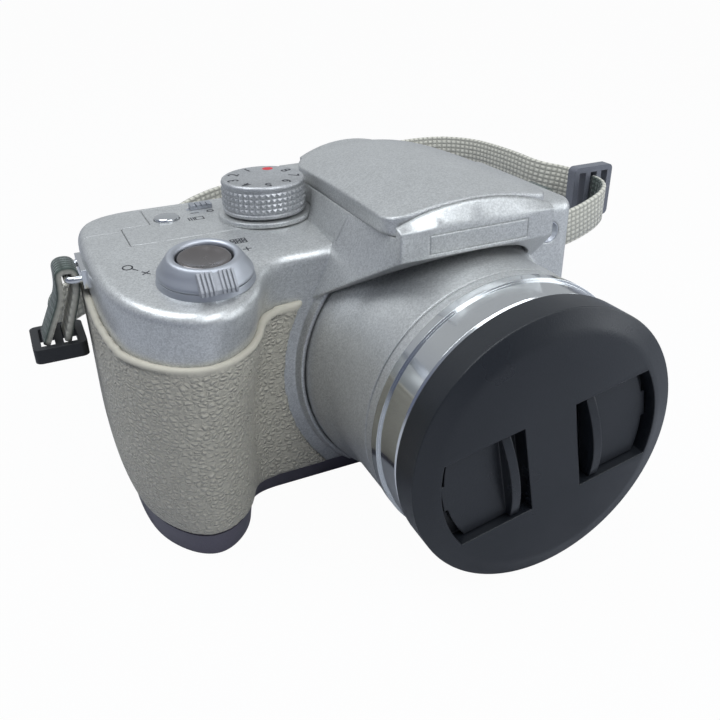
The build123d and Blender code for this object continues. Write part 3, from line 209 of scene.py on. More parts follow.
def opaque(colour):
    """Colour with full alpha, for a node's socket."""
    return (colour[0], colour[1], colour[2], 1.0)


def shade(colour, share):
    """Darker or lighter tone of a colour."""
    return tuple(min(1.0, channel * share) for channel in colour)


class CameraStudio(PropertyGroup):
    """Light and backdrop round the camera."""

    key_power: FloatProperty(
        name="Key", description="Power of the soft lamp high on the left", default=1.6,
        min=0, unit="POWER")
    front_power: FloatProperty(
        name="Front", description="Power of the soft lamp in front", default=1.0, min=0,
        unit="POWER")
    window_power: FloatProperty(
        name="Window", description="Power of the cool lamp low on the right", default=1.2, min=0,
        unit="POWER")
    sky: FloatVectorProperty(
        name="Sky", description="Light from the backdrop's side", subtype="COLOR",
        default=linear("B6BABE"), min=0, max=1)
    room: FloatVectorProperty(
        name="Room", description="Light from the viewer's side", subtype="COLOR",
        default=linear("6C7388"), min=0, max=1)
    floor: FloatVectorProperty(
        name="Floor", description="Floor's own colour", subtype="COLOR",
        default=linear("B9BBC2"), min=0, max=1)


class CameraColours(PropertyGroup):
    """Colours of the camera's finishes."""

    lacquer: FloatVectorProperty(
        name="Lacquer", description="Silver lacquer of the covers", subtype="COLOR",
        default=linear("CBCCCB"), min=0, max=1)
    rubber: FloatVectorProperty(
        name="Grip", description="Grained rubber of the grip", subtype="COLOR",
        default=linear("C9C3B3"), min=0, max=1)
    base: FloatVectorProperty(
        name="Base", description="Moulded base plate", subtype="COLOR",
        default=linear("5B5762"), min=0, max=1)
    cap: FloatVectorProperty(
        name="Cap", description="Moulded lens cap", subtype="COLOR",
        default=linear("1E2126"), min=0, max=1)
    webbing: FloatVectorProperty(
        name="Webbing", description="Face of the strap's webbing", subtype="COLOR",
        default=linear("D2CFC2"), min=0, max=1)
    # Back of the webbing, darker than its face: painted shade, as though the back lay in shade
    lining: FloatVectorProperty(
        name="Lining", description="Back of the strap's webbing", subtype="COLOR",
        default=linear("4A544E"), min=0, max=1)
    mark: FloatVectorProperty(
        name="Marks", description="Printed marks", subtype="COLOR",
        default=linear("303136"), min=0, max=1)
    accent: FloatVectorProperty(
        name="Accent", description="Printed mark of the easy mode", subtype="COLOR",
        default=linear("D2323C"), min=0, max=1)


class CameraGrip(PropertyGroup):
    """Grained skin of the hand grip."""

    voxel: FloatProperty(
        name="Fineness", description="Size of the skin's smallest faces", default=0.65 * MM,
        min=0.3 * MM, unit="LENGTH")
    rim: FloatProperty(
        name="Rim", description="Width of the smooth rolled edge", default=1.15 * MM, min=0,
        unit="LENGTH")
    roll: FloatProperty(
        name="Roll", description="Height of the rolled edge", default=0.25 * MM, min=0,
        unit="LENGTH")
    grain: FloatProperty(
        name="Grain", description="Length of one pebble of the grain", default=1.2 * MM,
        min=0.2 * MM, unit="LENGTH")


class CameraDial(PropertyGroup):
    """Knurled edge and numbers of the mode dial."""

    rows: IntProperty(name="Rows", description="Rows of points", default=4, min=1)
    count: IntProperty(name="Points", description="Points in one row", default=46, min=8)
    pitch: FloatProperty(
        name="Pitch", description="Height of one row", default=1.12 * MM, min=0, unit="LENGTH")
    low: FloatProperty(
        name="Start", description="Height of the lowest row over the dial's foot",
        default=1.2 * MM, min=0, unit="LENGTH")
    numbers: IntProperty(name="Numbers", description="Numbers round the face", default=8, min=1)
    size: FloatProperty(
        name="Size", description="Height of a number", default=3.5 * MM, min=0, unit="LENGTH")


class CameraRing(PropertyGroup):
    """Zoom ring round the shutter button."""

    ribs: IntProperty(name="Ribs", description="Ribs on each half of the tab", default=4, min=1)
    rib_width: FloatProperty(
        name="Rib", description="Width of one rib", default=0.5 * MM, min=0, unit="LENGTH")
    rib_pitch: FloatProperty(
        name="Pitch", description="Distance from rib to rib", default=0.8 * MM, min=0,
        unit="LENGTH")


class CameraStrap(PropertyGroup):
    """Ribbed neck strap."""

    width: FloatProperty(
        name="Width", description="Width of the webbing", default=10.0 * MM, min=0, unit="LENGTH")
    end_width: FloatProperty(
        name="End", description="Width of the webbing at the lugs", default=8.2 * MM, min=0,
        unit="LENGTH")
    thickness: FloatProperty(
        name="Thickness", description="Thickness of the webbing", default=1.4 * MM, min=0,
        unit="LENGTH")
    rib: FloatProperty(
        name="Rib", description="Length of one rib of the weave", default=1.7 * MM, min=0,
        unit="LENGTH")


class CameraPart(PropertyGroup):
    """Everything of the camera that a user would change."""

    studio: PointerProperty(type=CameraStudio)
    colours: PointerProperty(type=CameraColours)
    grip: PointerProperty(type=CameraGrip)
    dial: PointerProperty(type=CameraDial)
    ring: PointerProperty(type=CameraRing)
    strap: PointerProperty(type=CameraStrap)


def add_node(tree, kind, settings=None, links=None):
    """Adds one node, with its settings by name or socket number and its links by socket."""
    node = tree.nodes.new(kind)
    for key, value in (settings or {}).items():
        if isinstance(key, int) or key in node.inputs:
            node.inputs[key].default_value = value
        else:
            setattr(node, key, value)
    for socket, source in (links or {}).items():
        tree.links.new(source, node.inputs[socket])
    return node


def new_finish(name, settings):
    """A new material with the settings of its shader; returns material, tree and shader."""
    material = bpy.data.materials.new(name)
    material.use_nodes = True
    tree = material.node_tree
    shader = tree.nodes["Principled BSDF"]
    for key, value in settings.items():
        shader.inputs[key].default_value = value
    return material, tree, shader


def blend_colours(tree, factor, low, high):
    """Colour between two tones, by a factor socket."""
    mix = add_node(tree, "ShaderNodeMix", {"data_type": "RGBA", MIX_A: opaque(low),
                                           MIX_B: opaque(high)}, {MIX_FACTOR: factor})
    return mix.outputs[MIX_RESULT]


def spread(tree, value, low, high, start=0.0, end=1.0):
    """Value remapped to a range of its own."""
    node = add_node(tree, "ShaderNodeMapRange",
                    {"From Min": start, "From Max": end, "To Min": low, "To Max": high},
                    {"Value": value})
    return node.outputs["Result"]


def soft_edge(tree, shader, radius, height=None, depth=0.0, strength=1.0):
    """Rounds the shaded edges by a radius, with a relief of some depth on top."""
    edge = add_node(tree, "ShaderNodeBevel", {"samples": 6, "Radius": radius})
    normal = edge.outputs["Normal"]
    if height is not None:
        relief = add_node(tree, "ShaderNodeBump", {"Strength": strength, "Distance": depth},
                          {"Height": height, "Normal": normal})
        normal = relief.outputs["Normal"]
    tree.links.new(normal, shader.inputs["Normal"])


def flaked_lacquer(name, colour, edge=0.7 * MM, flake=0.26 * MM, roughness=0.36):
    """Silver lacquer on moulded ABS: aluminium flakes, fine sparkle, satin gleam.

    Real flakes are near 0.02 mm across and are drawn coarser, so that they show.
    """
    material, tree, shader = new_finish(name, {"Metallic": 0.65, "Coat Weight": 0.25,
                                               "Coat Roughness": 0.22, "Coat IOR": 1.5})
    place = add_node(tree, "ShaderNodeTexCoord").outputs["Object"]
    flakes = add_node(tree, "ShaderNodeTexVoronoi", {"Scale": 1 / flake}, {"Vector": place})
    random_tone = add_node(tree, "ShaderNodeSeparateColor", links={"Color": flakes.outputs["Color"]})
    cloud = add_node(tree, "ShaderNodeTexNoise", {"Scale": 1 / (9 * MM), "Detail": 2.0},
                     {"Vector": place})
    tone = add_node(tree, "ShaderNodeMath", {"operation": "MULTIPLY_ADD", 1: 0.85},
                    {0: random_tone.outputs["Red"],
                     2: spread(tree, cloud.outputs["Fac"], 0.0, 0.15, 0.35, 0.65)})
    tree.links.new(blend_colours(tree, tone.outputs["Value"], shade(colour, 0.80),
                                 shade(colour, 1.16)), shader.inputs["Base Color"])
    tree.links.new(spread(tree, random_tone.outputs["Green"], roughness - 0.06, roughness + 0.08),
                   shader.inputs["Roughness"])
    orange_peel = add_node(tree, "ShaderNodeTexNoise", {"Scale": 1 / (0.45 * MM), "Detail": 1.0},
                           {"Vector": place})
    soft_edge(tree, shader, edge, orange_peel.outputs["Fac"], 0.02 * MM, 0.5)
    return material


def turned_metal(name, colour, centre, axis, pitch=0.22 * MM, roughness=0.2, depth=0.004 * MM):
    """Aluminium turned on a lathe: fine rings round its axis, with a clear gleam."""
    material, tree, shader = new_finish(name, {"Metallic": 1.0})
    place = add_node(tree, "ShaderNodeTexCoord").outputs["Object"]
    moved = add_node(tree, "ShaderNodeMapping", {"Location": [-value for value in centre]},
                     {"Vector": place})
    rings = add_node(tree, "ShaderNodeTexWave",
                     {"wave_type": "RINGS", "rings_direction": axis, "Scale": 0.05 / pitch,
                      "Distortion": 0.0}, {"Vector": moved.outputs["Vector"]})
    along = add_node(tree, "ShaderNodeTexNoise", {"Scale": 1 / (6 * MM), "Detail": 3.0},
                     {"Vector": moved.outputs["Vector"]})
    tree.links.new(blend_colours(tree, along.outputs["Fac"], shade(colour, 0.94), shade(colour, 1.04)),
                   shader.inputs["Base Color"])
    tree.links.new(spread(tree, rings.outputs["Fac"], roughness - 0.04, roughness + 0.05),
                   shader.inputs["Roughness"])
    soft_edge(tree, shader, 0.15 * MM, rings.outputs["Fac"], depth, 0.6)
    return material


def plated_metal(name, colour, roughness=0.08):
    """Bright plating: mirror gleam, with faint hazing from handling."""
    material, tree, shader = new_finish(name, {"Metallic": 1.0, "Base Color": opaque(colour)})
    place = add_node(tree, "ShaderNodeTexCoord").outputs["Object"]
    haze = add_node(tree, "ShaderNodeTexNoise", {"Scale": 1 / (2.5 * MM), "Detail": 4.0},
                    {"Vector": place})
    tree.links.new(spread(tree, haze.outputs["Fac"], roughness * 0.6, roughness * 2.2, 0.3, 0.7),
                   shader.inputs["Roughness"])
    soft_edge(tree, shader, 0.2 * MM)
    return material


def moulded_plastic(name, colour, grain=0.35 * MM, depth=0.03 * MM, roughness=0.5, edge=0.25 * MM,
                    strength=0.6):
    """Moulded plastic: a spark-eroded grain that breaks the gleam, worn a little smoother in places.

    The real grain is near 0.1 mm and is drawn coarser, so that it shows.
    """
    material, tree, shader = new_finish(name, {"IOR": 1.5})
    place = add_node(tree, "ShaderNodeTexCoord").outputs["Object"]
    spark = add_node(tree, "ShaderNodeTexNoise", {"Scale": 1 / grain, "Detail": 2.0},
                     {"Vector": place})
    wear = add_node(tree, "ShaderNodeTexNoise", {"Scale": 1 / (12 * MM), "Detail": 3.0},
                    {"Vector": place})
    tree.links.new(blend_colours(tree, spark.outputs["Fac"], shade(colour, 0.82), shade(colour, 1.2)),
                   shader.inputs["Base Color"])
    tree.links.new(spread(tree, wear.outputs["Fac"], roughness - 0.07, roughness + 0.07, 0.3, 0.7),
                   shader.inputs["Roughness"])
    soft_edge(tree, shader, edge, spark.outputs["Fac"], depth, strength)
    return material


def clear_glass(name, colour, roughness=0.02):
    """Coated optical glass or acrylic: clear, with a faint tinted reflection and dust."""
    material, tree, shader = new_finish(name, {"Transmission Weight": 0.92, "IOR": 1.52,
                                               "Specular Tint": opaque(colour)})
    place = add_node(tree, "ShaderNodeTexCoord").outputs["Object"]
    dust = add_node(tree, "ShaderNodeTexNoise", {"Scale": 1 / (1.5 * MM), "Detail": 5.0},
                    {"Vector": place})
    tree.links.new(blend_colours(tree, dust.outputs["Fac"], shade(colour, 0.96), colour),
                   shader.inputs["Base Color"])
    tree.links.new(spread(tree, dust.outputs["Fac"], roughness, roughness + 0.05, 0.5, 0.8),
                   shader.inputs["Roughness"])
    return material


def printed_board(name):
    """Solder-masked glass laminate: green gloss with faint copper tracks under the mask."""
    material, tree, shader = new_finish(name, {"IOR": 1.5, "Roughness": 0.3})
    place = add_node(tree, "ShaderNodeTexCoord").outputs["Object"]
    tracks = add_node(tree, "ShaderNodeTexBrick", {"Scale": 1 / (6 * MM), "Mortar Size": 0.04,
                                                   "Color1": opaque(linear("1E5A38")),
                                                   "Color2": opaque(linear("225F3C")),
                                                   "Mortar": opaque(linear("3E8A5A"))},
                      {"Vector": place})
    tree.links.new(tracks.outputs["Color"], shader.inputs["Base Color"])
    soft_edge(tree, shader, 0.1 * MM, tracks.outputs["Fac"], 0.02 * MM, 0.4)
    return material


def grained_rubber(name, colour, grain):
    """Soft rubber with a leather grain: long pebbles, deep creases darkened with painted shade, a smooth
    rolled edge.

    The edge attribute is 1 on the rolled edge; a second attribute is 1 in the thin line inside it, which
    is painted dark as the shade of a groove.
    """
    material, tree, shader = new_finish(name, {"IOR": 1.5, "Sheen Weight": 0.12,
                                               "Sheen Roughness": 0.5})
    place = add_node(tree, "ShaderNodeTexCoord").outputs["Object"]
    warp = add_node(tree, "ShaderNodeTexNoise", {"Scale": 1 / (1.6 * grain), "Detail": 2.0},
                    {"Vector": place})
    bent = add_node(tree, "ShaderNodeVectorMath", {"operation": "MULTIPLY_ADD",
                                                   1: (0.8 * grain, 0.8 * grain, 0.8 * grain)},
                    {0: warp.outputs["Color"], 2: place})
    long = add_node(tree, "ShaderNodeMapping", {"Scale": (0.85, 0.85, 1.2)},
                    {"Vector": bent.outputs["Vector"]})
    cells = add_node(tree, "ShaderNodeTexVoronoi", {"feature": "DISTANCE_TO_EDGE",
                                                    "Scale": 1 / grain, "Randomness": 0.8},
                     {"Vector": long.outputs["Vector"]})
    pebble = add_node(tree, "ShaderNodeMapRange",
                      {"interpolation_type": "SMOOTHSTEP", "From Min": 0.0, "From Max": 0.38,
                       "To Min": 0.0, "To Max": 1.0}, {"Value": cells.outputs["Distance"]})
    fine = add_node(tree, "ShaderNodeTexNoise", {"Scale": 1 / (0.35 * MM), "Detail": 2.0},
                    {"Vector": place})
    height = add_node(tree, "ShaderNodeMath", {"operation": "MULTIPLY_ADD", 1: 0.22},
                      {0: fine.outputs["Fac"], 2: pebble.outputs["Result"]})
    edge = add_node(tree, "ShaderNodeAttribute", {"attribute_name": "edge"}).outputs["Fac"]
    groove_shade = add_node(tree, "ShaderNodeAttribute", {"attribute_name": "groove_shade"}).outputs["Fac"]
    calm = add_node(tree, "ShaderNodeMath", {"operation": "MULTIPLY"},
                    {0: height.outputs["Value"], 1: spread(tree, edge, 1.0, 0.0)})
    # Painted shade: the creases between the pebbles are darker, and the smooth rolled edge keeps the plain
    # colour
    crease_shade_colour = blend_colours(tree, pebble.outputs["Result"], shade(colour, 0.84),
                                 shade(colour, 1.02))
    smooth = add_node(tree, "ShaderNodeMix", {"data_type": "RGBA", MIX_B: opaque(colour)},
                      {MIX_FACTOR: edge, MIX_A: crease_shade_colour})
    # Painted shade: a thin dark line inside the rolled edge, where a groove would lie in shade
    rim_line_shaded = add_node(tree, "ShaderNodeMix", {"data_type": "RGBA", MIX_B: opaque(shade(colour, 0.35))},
                     {MIX_FACTOR: groove_shade, MIX_A: smooth.outputs[MIX_RESULT]})
    tree.links.new(rim_line_shaded.outputs[MIX_RESULT], shader.inputs["Base Color"])
    tree.links.new(spread(tree, pebble.outputs["Result"], 0.7, 0.46), shader.inputs["Roughness"])
    relief = add_node(tree, "ShaderNodeBump", {"Strength": 1.0, "Distance": 0.36 * MM},
                      {"Height": calm.outputs["Value"]})
    tree.links.new(relief.outputs["Normal"], shader.inputs["Normal"])
    return material


def woven_webbing(name, face, back, rib):
    """Woven polyester webbing: rows of plump ribs, a dull sheen, a darker back.

    Colour follows the rib height, as painted shade in the valleys and painted highlight on the crests; the
    back's darker tone is painted shade. UV runs along and across the strap in millimetres; an attribute is
    1 on the back.
    """
    material, tree, shader = new_finish(name, {"IOR": 1.45, "Sheen Weight": 0.35,
                                               "Sheen Roughness": 0.4, "Roughness": 0.78})
    path = add_node(tree, "ShaderNodeUVMap", {"uv_map": "weave"}).outputs["UV"]
    split = add_node(tree, "ShaderNodeSeparateXYZ", links={"Vector": path})
    waves = []
    for socket, pitch in (("X", rib), ("Y", rib * 0.8)):
        turn = add_node(tree, "ShaderNodeMath", {"operation": "MULTIPLY", 1: math.pi / pitch * MM},
                        {0: split.outputs[socket]})
        wave = add_node(tree, "ShaderNodeMath", {"operation": "SINE"}, {0: turn.outputs["Value"]})
        plump = add_node(tree, "ShaderNodeMath", {"operation": "ABSOLUTE"}, {0: wave.outputs["Value"]})
        waves.append(plump.outputs["Value"])
    rib_height = add_node(tree, "ShaderNodeMath", {"operation": "MULTIPLY"}, {0: waves[0], 1: waves[1]})
    yarn = add_node(tree, "ShaderNodeTexNoise", {"Scale": 3.0, "Detail": 3.0}, {"Vector": path})
    height = add_node(tree, "ShaderNodeMath", {"operation": "MULTIPLY_ADD", 1: 0.35},
                      {0: yarn.outputs["Fac"], 2: rib_height.outputs["Value"]})
    # Painted shade in the valleys of the weave and painted highlight on its crests, on the face and on the
    # back
    face_rib_shade = blend_colours(tree, height.outputs["Value"], shade(face, 0.52), shade(face, 1.12))
    back_rib_shade = blend_colours(tree, height.outputs["Value"], shade(back, 0.5), shade(back, 1.25))
    # The back of the webbing is painted darker as painted shade
    lining = add_node(tree, "ShaderNodeAttribute", {"attribute_name": "lining"}).outputs["Fac"]
    both = add_node(tree, "ShaderNodeMix", {"data_type": "RGBA"},
                    {MIX_FACTOR: lining, MIX_A: face_rib_shade, MIX_B: back_rib_shade})
    tree.links.new(both.outputs[MIX_RESULT], shader.inputs["Base Color"])
    relief = add_node(tree, "ShaderNodeBump", {"Strength": 0.9, "Distance": 0.3 * MM},
                      {"Height": height.outputs["Value"]})
    tree.links.new(relief.outputs["Normal"], shader.inputs["Normal"])
    return material


def ink(name, colour):
    """Pad-printed ink: flat tone with slightly uneven cover."""
    material, tree, shader = new_finish(name, {"IOR": 1.5, "Roughness": 0.5})
    place = add_node(tree, "ShaderNodeTexCoord").outputs["Object"]
    cover = add_node(tree, "ShaderNodeTexNoise", {"Scale": 1 / (0.3 * MM)}, {"Vector": place})
    tree.links.new(blend_colours(tree, cover.outputs["Fac"], shade(colour, 0.8), shade(colour, 1.2)),
                   shader.inputs["Base Color"])
    return material


def middle_of(node):
    """Middle of a node's box."""
    low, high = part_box(node)
    return (low + high) / 2


def make_finishes(colours, grip, strap):
    """Every finish of the camera, by its name."""
    lens = middle_of("trim_ring")
    ring = ring_place().translation
    return {
        "lacquer": flaked_lacquer("silver_lacquer", colours.lacquer),
        "barrel": flaked_lacquer("barrel_lacquer", shade(colours.lacquer, 0.92), roughness=0.42),
        "lid": flaked_lacquer("lid_lacquer", colours.lacquer, edge=1.2 * MM),
        "dial": flaked_lacquer("dial_lacquer", linear("B9BABB"), edge=0.2 * MM, roughness=0.42),
        "trim": turned_metal("turned_aluminium", linear("DADCDD"), lens, "Y", roughness=0.14),
        "satin": turned_metal("satin_aluminium", linear("BCBFC5"), ring, "Z", roughness=0.5),
        "chrome": plated_metal("chrome_plate", linear("D6D8DA")),
        "dish": plated_metal("dark_nickel_plate", linear("8B8685"), 0.14),
        "steel": turned_metal("drawn_steel", linear("A9ABAE"), lens, "Y", roughness=0.28),
        "brass": plated_metal("machined_brass", linear("B89B57"), 0.2),
        "rubber": grained_rubber("grained_rubber", colours.rubber, grip.grain),
        "base": moulded_plastic("base_abs", colours.base, roughness=0.38),
        "cap": moulded_plastic("cap_abs", colours.cap, roughness=0.34, edge=0.4 * MM),
        "black": moulded_plastic("black_abs", linear("1B1C1F"), roughness=0.46),
        "tube": moulded_plastic("tube_polycarbonate", linear("17181A"), roughness=0.4),
        "button": moulded_plastic("painted_button", linear("A9ABB0"), depth=0.012 * MM, roughness=0.34),
        # The right slide is the same black plastic as the left; its lighter grey is painted light, as it
        # stands in the lamps' light
        "slide": moulded_plastic("painted_lit_slide", linear("70727A"), roughness=0.4),
        "eyecup": moulded_plastic("eyecup_rubber", linear("1A1A1C"), depth=0.05 * MM, roughness=0.66),
        "glass": clear_glass("coated_glass", linear("E9EEF6")),
        "screen": moulded_plastic("screen_acrylic", linear("0C0E11"), depth=0.0, roughness=0.1),
        "panel": moulded_plastic("display_panel", linear("1B1D20"), depth=0.0, roughness=0.3),
        "board": printed_board("board_laminate"),
        "sleeve": moulded_plastic("battery_sleeve", linear("26292D"), depth=0.01 * MM, roughness=0.3),
        "webbing": woven_webbing("woven_webbing", colours.webbing, colours.lining, strap.rib),
        "mark": ink("printed_mark", colours.mark),
        "accent": ink("printed_accent", colours.accent),
    }


NODE_FINISHES = {
    "lacquer": ("front_cover", "rear_cover", "top_panel", "nose_plate", "side_door", "dial_ring"),
    "lid": ("flash_lid",),
    "barrel": ("fixed_barrel", "middle_barrel", "front_barrel"),
    "trim": ("trim_ring",),
    "satin": ("ring_collar", "zoom_ring", "power_switch", "flash_button"),
    "dial": ("mode_dial",),
    "chrome": ("shutter_button", "burst_button", "lug_left", "lug_right"),
    "steel": ("guide_rod_left", "guide_rod_right", "sensor_unit", "flash_hinge_pin",
              "door_hinge_pin"),
    "brass": ("tripod_socket",),
    "rubber": ("grip_skin",),
    "base": ("base_plate", "battery_door"),
    "cap": ("lens_cap", "cap_tab_left", "cap_tab_right"),
    "black": ("flash_housing", "finder_unit", "strap_slide_left", "door_latch"),
    "tube": ("cam_barrel", "zoom_carrier", "focus_carrier"),
    "button": ("display_button", "delete_button", "exposure_button", "cursor_pad", "set_button"),
    # Painted light: the right slide is black plastic, painted a lighter grey as though lit
    "slide": ("strap_slide_right",),
    "eyecup": ("eyecup",),
    "glass": ("lamp_lens", "flash_window", "front_lens", "zoom_glass", "focus_glass",
              "eyepiece_lens"),
    "screen": ("screen_window",),
    "panel": ("screen_display",),
    "board": ("main_board",),
    "sleeve": ("battery", "memory_card"),
    "webbing": ("strap_webbing", "strap_end_left", "strap_end_right"),
}


def finish_of(name):
    """A finish that the finishes operator made, by its key."""
    return bpy.data.materials[bpy.context.scene.camera_part["finish_" + name]]


def new_object(name, mesh, material, body):
    """Object of a mesh, with its finish, that moves with a body."""
    obj = bpy.data.objects.new(name, mesh)
    bpy.context.scene.collection.objects.link(obj)
    mesh.materials.clear()
    mesh.materials.append(material)
    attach(obj, body)
    return obj


def mesh_of(name, vertices, faces, smooth=40.0):
    """Closed mesh of vertices and faces, with smooth shading up to an angle in degrees."""
    form = bmesh.new()
    corners = [form.verts.new(vertex) for vertex in vertices]
    for face in faces:
        form.faces.new([corners[index] for index in face])
    bmesh.ops.remove_doubles(form, verts=form.verts, dist=0.0005 * MM)
    bmesh.ops.recalc_face_normals(form, faces=form.faces)
    for face in form.faces:
        face.smooth = True
    for edge in form.edges:
        edge.smooth = not edge.is_manifold or edge.calc_face_angle(0.0) < math.radians(smooth)
    mesh = bpy.data.meshes.new(name)
    form.to_mesh(mesh)
    form.free()
    return mesh


def turned_mesh(name, outline, place, steps=96):
    """Solid turned about Z from (radius, height) points in millimetres, then put in place."""
    vertices, faces = [], []
    for radius, height in outline:
        for n in range(steps):
            angle = 2 * math.pi * n / steps
            vertices.append(place @ Vector((radius * math.cos(angle) * MM,
                                            radius * math.sin(angle) * MM, height * MM)))
    for row in range(len(outline) - 1):
        for n in range(steps):
            after = (n + 1) % steps
            faces.append((row * steps + n, row * steps + after, (row + 1) * steps + after,
                          (row + 1) * steps + n))
    return mesh_of(name, vertices, faces)


def ribbon_mesh(name, spine, width, thickness, backed=True):
    """Flat band along a spine of (point, width direction, normal), in metres, with its weave map."""
    corner = thickness * 0.3
    half, deep = width / 2, thickness / 2
    section = ((-half, 0), (-half + corner * 0.4, deep - corner * 0.4), (-half + corner, deep),
               (0, deep), (half - corner, deep), (half - corner * 0.4, deep - corner * 0.4),
               (half, 0), (half - corner * 0.4, corner * 0.4 - deep), (half - corner, -deep),
               (0, -deep), (corner - half, -deep), (-half + corner * 0.4, corner * 0.4 - deep))
    form = bmesh.new()
    weave = form.loops.layers.uv.new("weave")
    lining = form.verts.layers.float.new("lining")
    rings, travel, before = [], 0.0, None
    lengths = []
    for point, across, normal in spine:
        travel += (point - before).length if before is not None else 0.0
        before = point
        lengths.append(travel)
        ring = []
        for side, rise in section:
            vertex = form.verts.new(point + across * side + normal * rise)
            # Vertices on the back are marked for the back's painted shade
            vertex[lining] = 1.0 if backed and rise < 0 else 0.0
            ring.append(vertex)
        rings.append(ring)
    count = len(section)
    for row in range(len(rings) - 1):
        for n in range(count):
            after = (n + 1) % count
            face = form.faces.new((rings[row][n], rings[row][after], rings[row + 1][after],
                                   rings[row + 1][n]))
            face.smooth = True
            for loop, (along, side) in zip(face.loops, ((lengths[row], section[n][0]),
                                                        (lengths[row], section[after][0]),
                                                        (lengths[row + 1], section[after][0]),
                                                        (lengths[row + 1], section[n][0]))):
                loop[weave].uv = (along / MM, side / MM)
    form.faces.new(rings[0][::-1])
    form.faces.new(rings[-1])
    bmesh.ops.recalc_face_normals(form, faces=form.faces)
    mesh = bpy.data.meshes.new(name)
    form.to_mesh(mesh)
    form.free()
    return mesh


def smooth_line(points, resolution=12):
    """Points of the smooth spline that has these points, in millimetres, for its control points."""
    curve = bpy.data.curves.new("route", "CURVE")
    curve.dimensions = "3D"
    curve.resolution_u = resolution
    spline = curve.splines.new("NURBS")
    spline.points.add(len(points) - 1)
    for target, point in zip(spline.points, points):
        target.co = (point[0] * MM, point[1] * MM, point[2] * MM, 1.0)
    spline.order_u = 3
    spline.use_endpoint_u = True
    carrier = bpy.data.objects.new("route", curve)
    mesh = bpy.data.meshes.new_from_object(carrier)
    line = [vertex.co.copy() for vertex in mesh.vertices]
    bpy.data.objects.remove(carrier)
    bpy.data.meshes.remove(mesh)
    return line


def headings(line):
    """Heading of a line at each of its points."""
    result = []
    for n in range(len(line)):
        after = line[min(n + 1, len(line) - 1)]
        before = line[max(n - 1, 0)]
        result.append((after - before).normalized())
    return result


def spine_of(line, across_at):
    """Spine of a band, from its line and a rule for the width direction at each point."""
    spine = []
    for n, (point, heading) in enumerate(zip(line, headings(line))):
        across = across_at(n, point)
        across = (across - heading * across.dot(heading)).normalized()
        spine.append((point, across, heading.cross(across).normalized()))
    return spine


def ease(value):
    """Smooth step from 0 to 1."""
    value = min(1.0, max(0.0, value))
    return value * value * (3 - 2 * value)


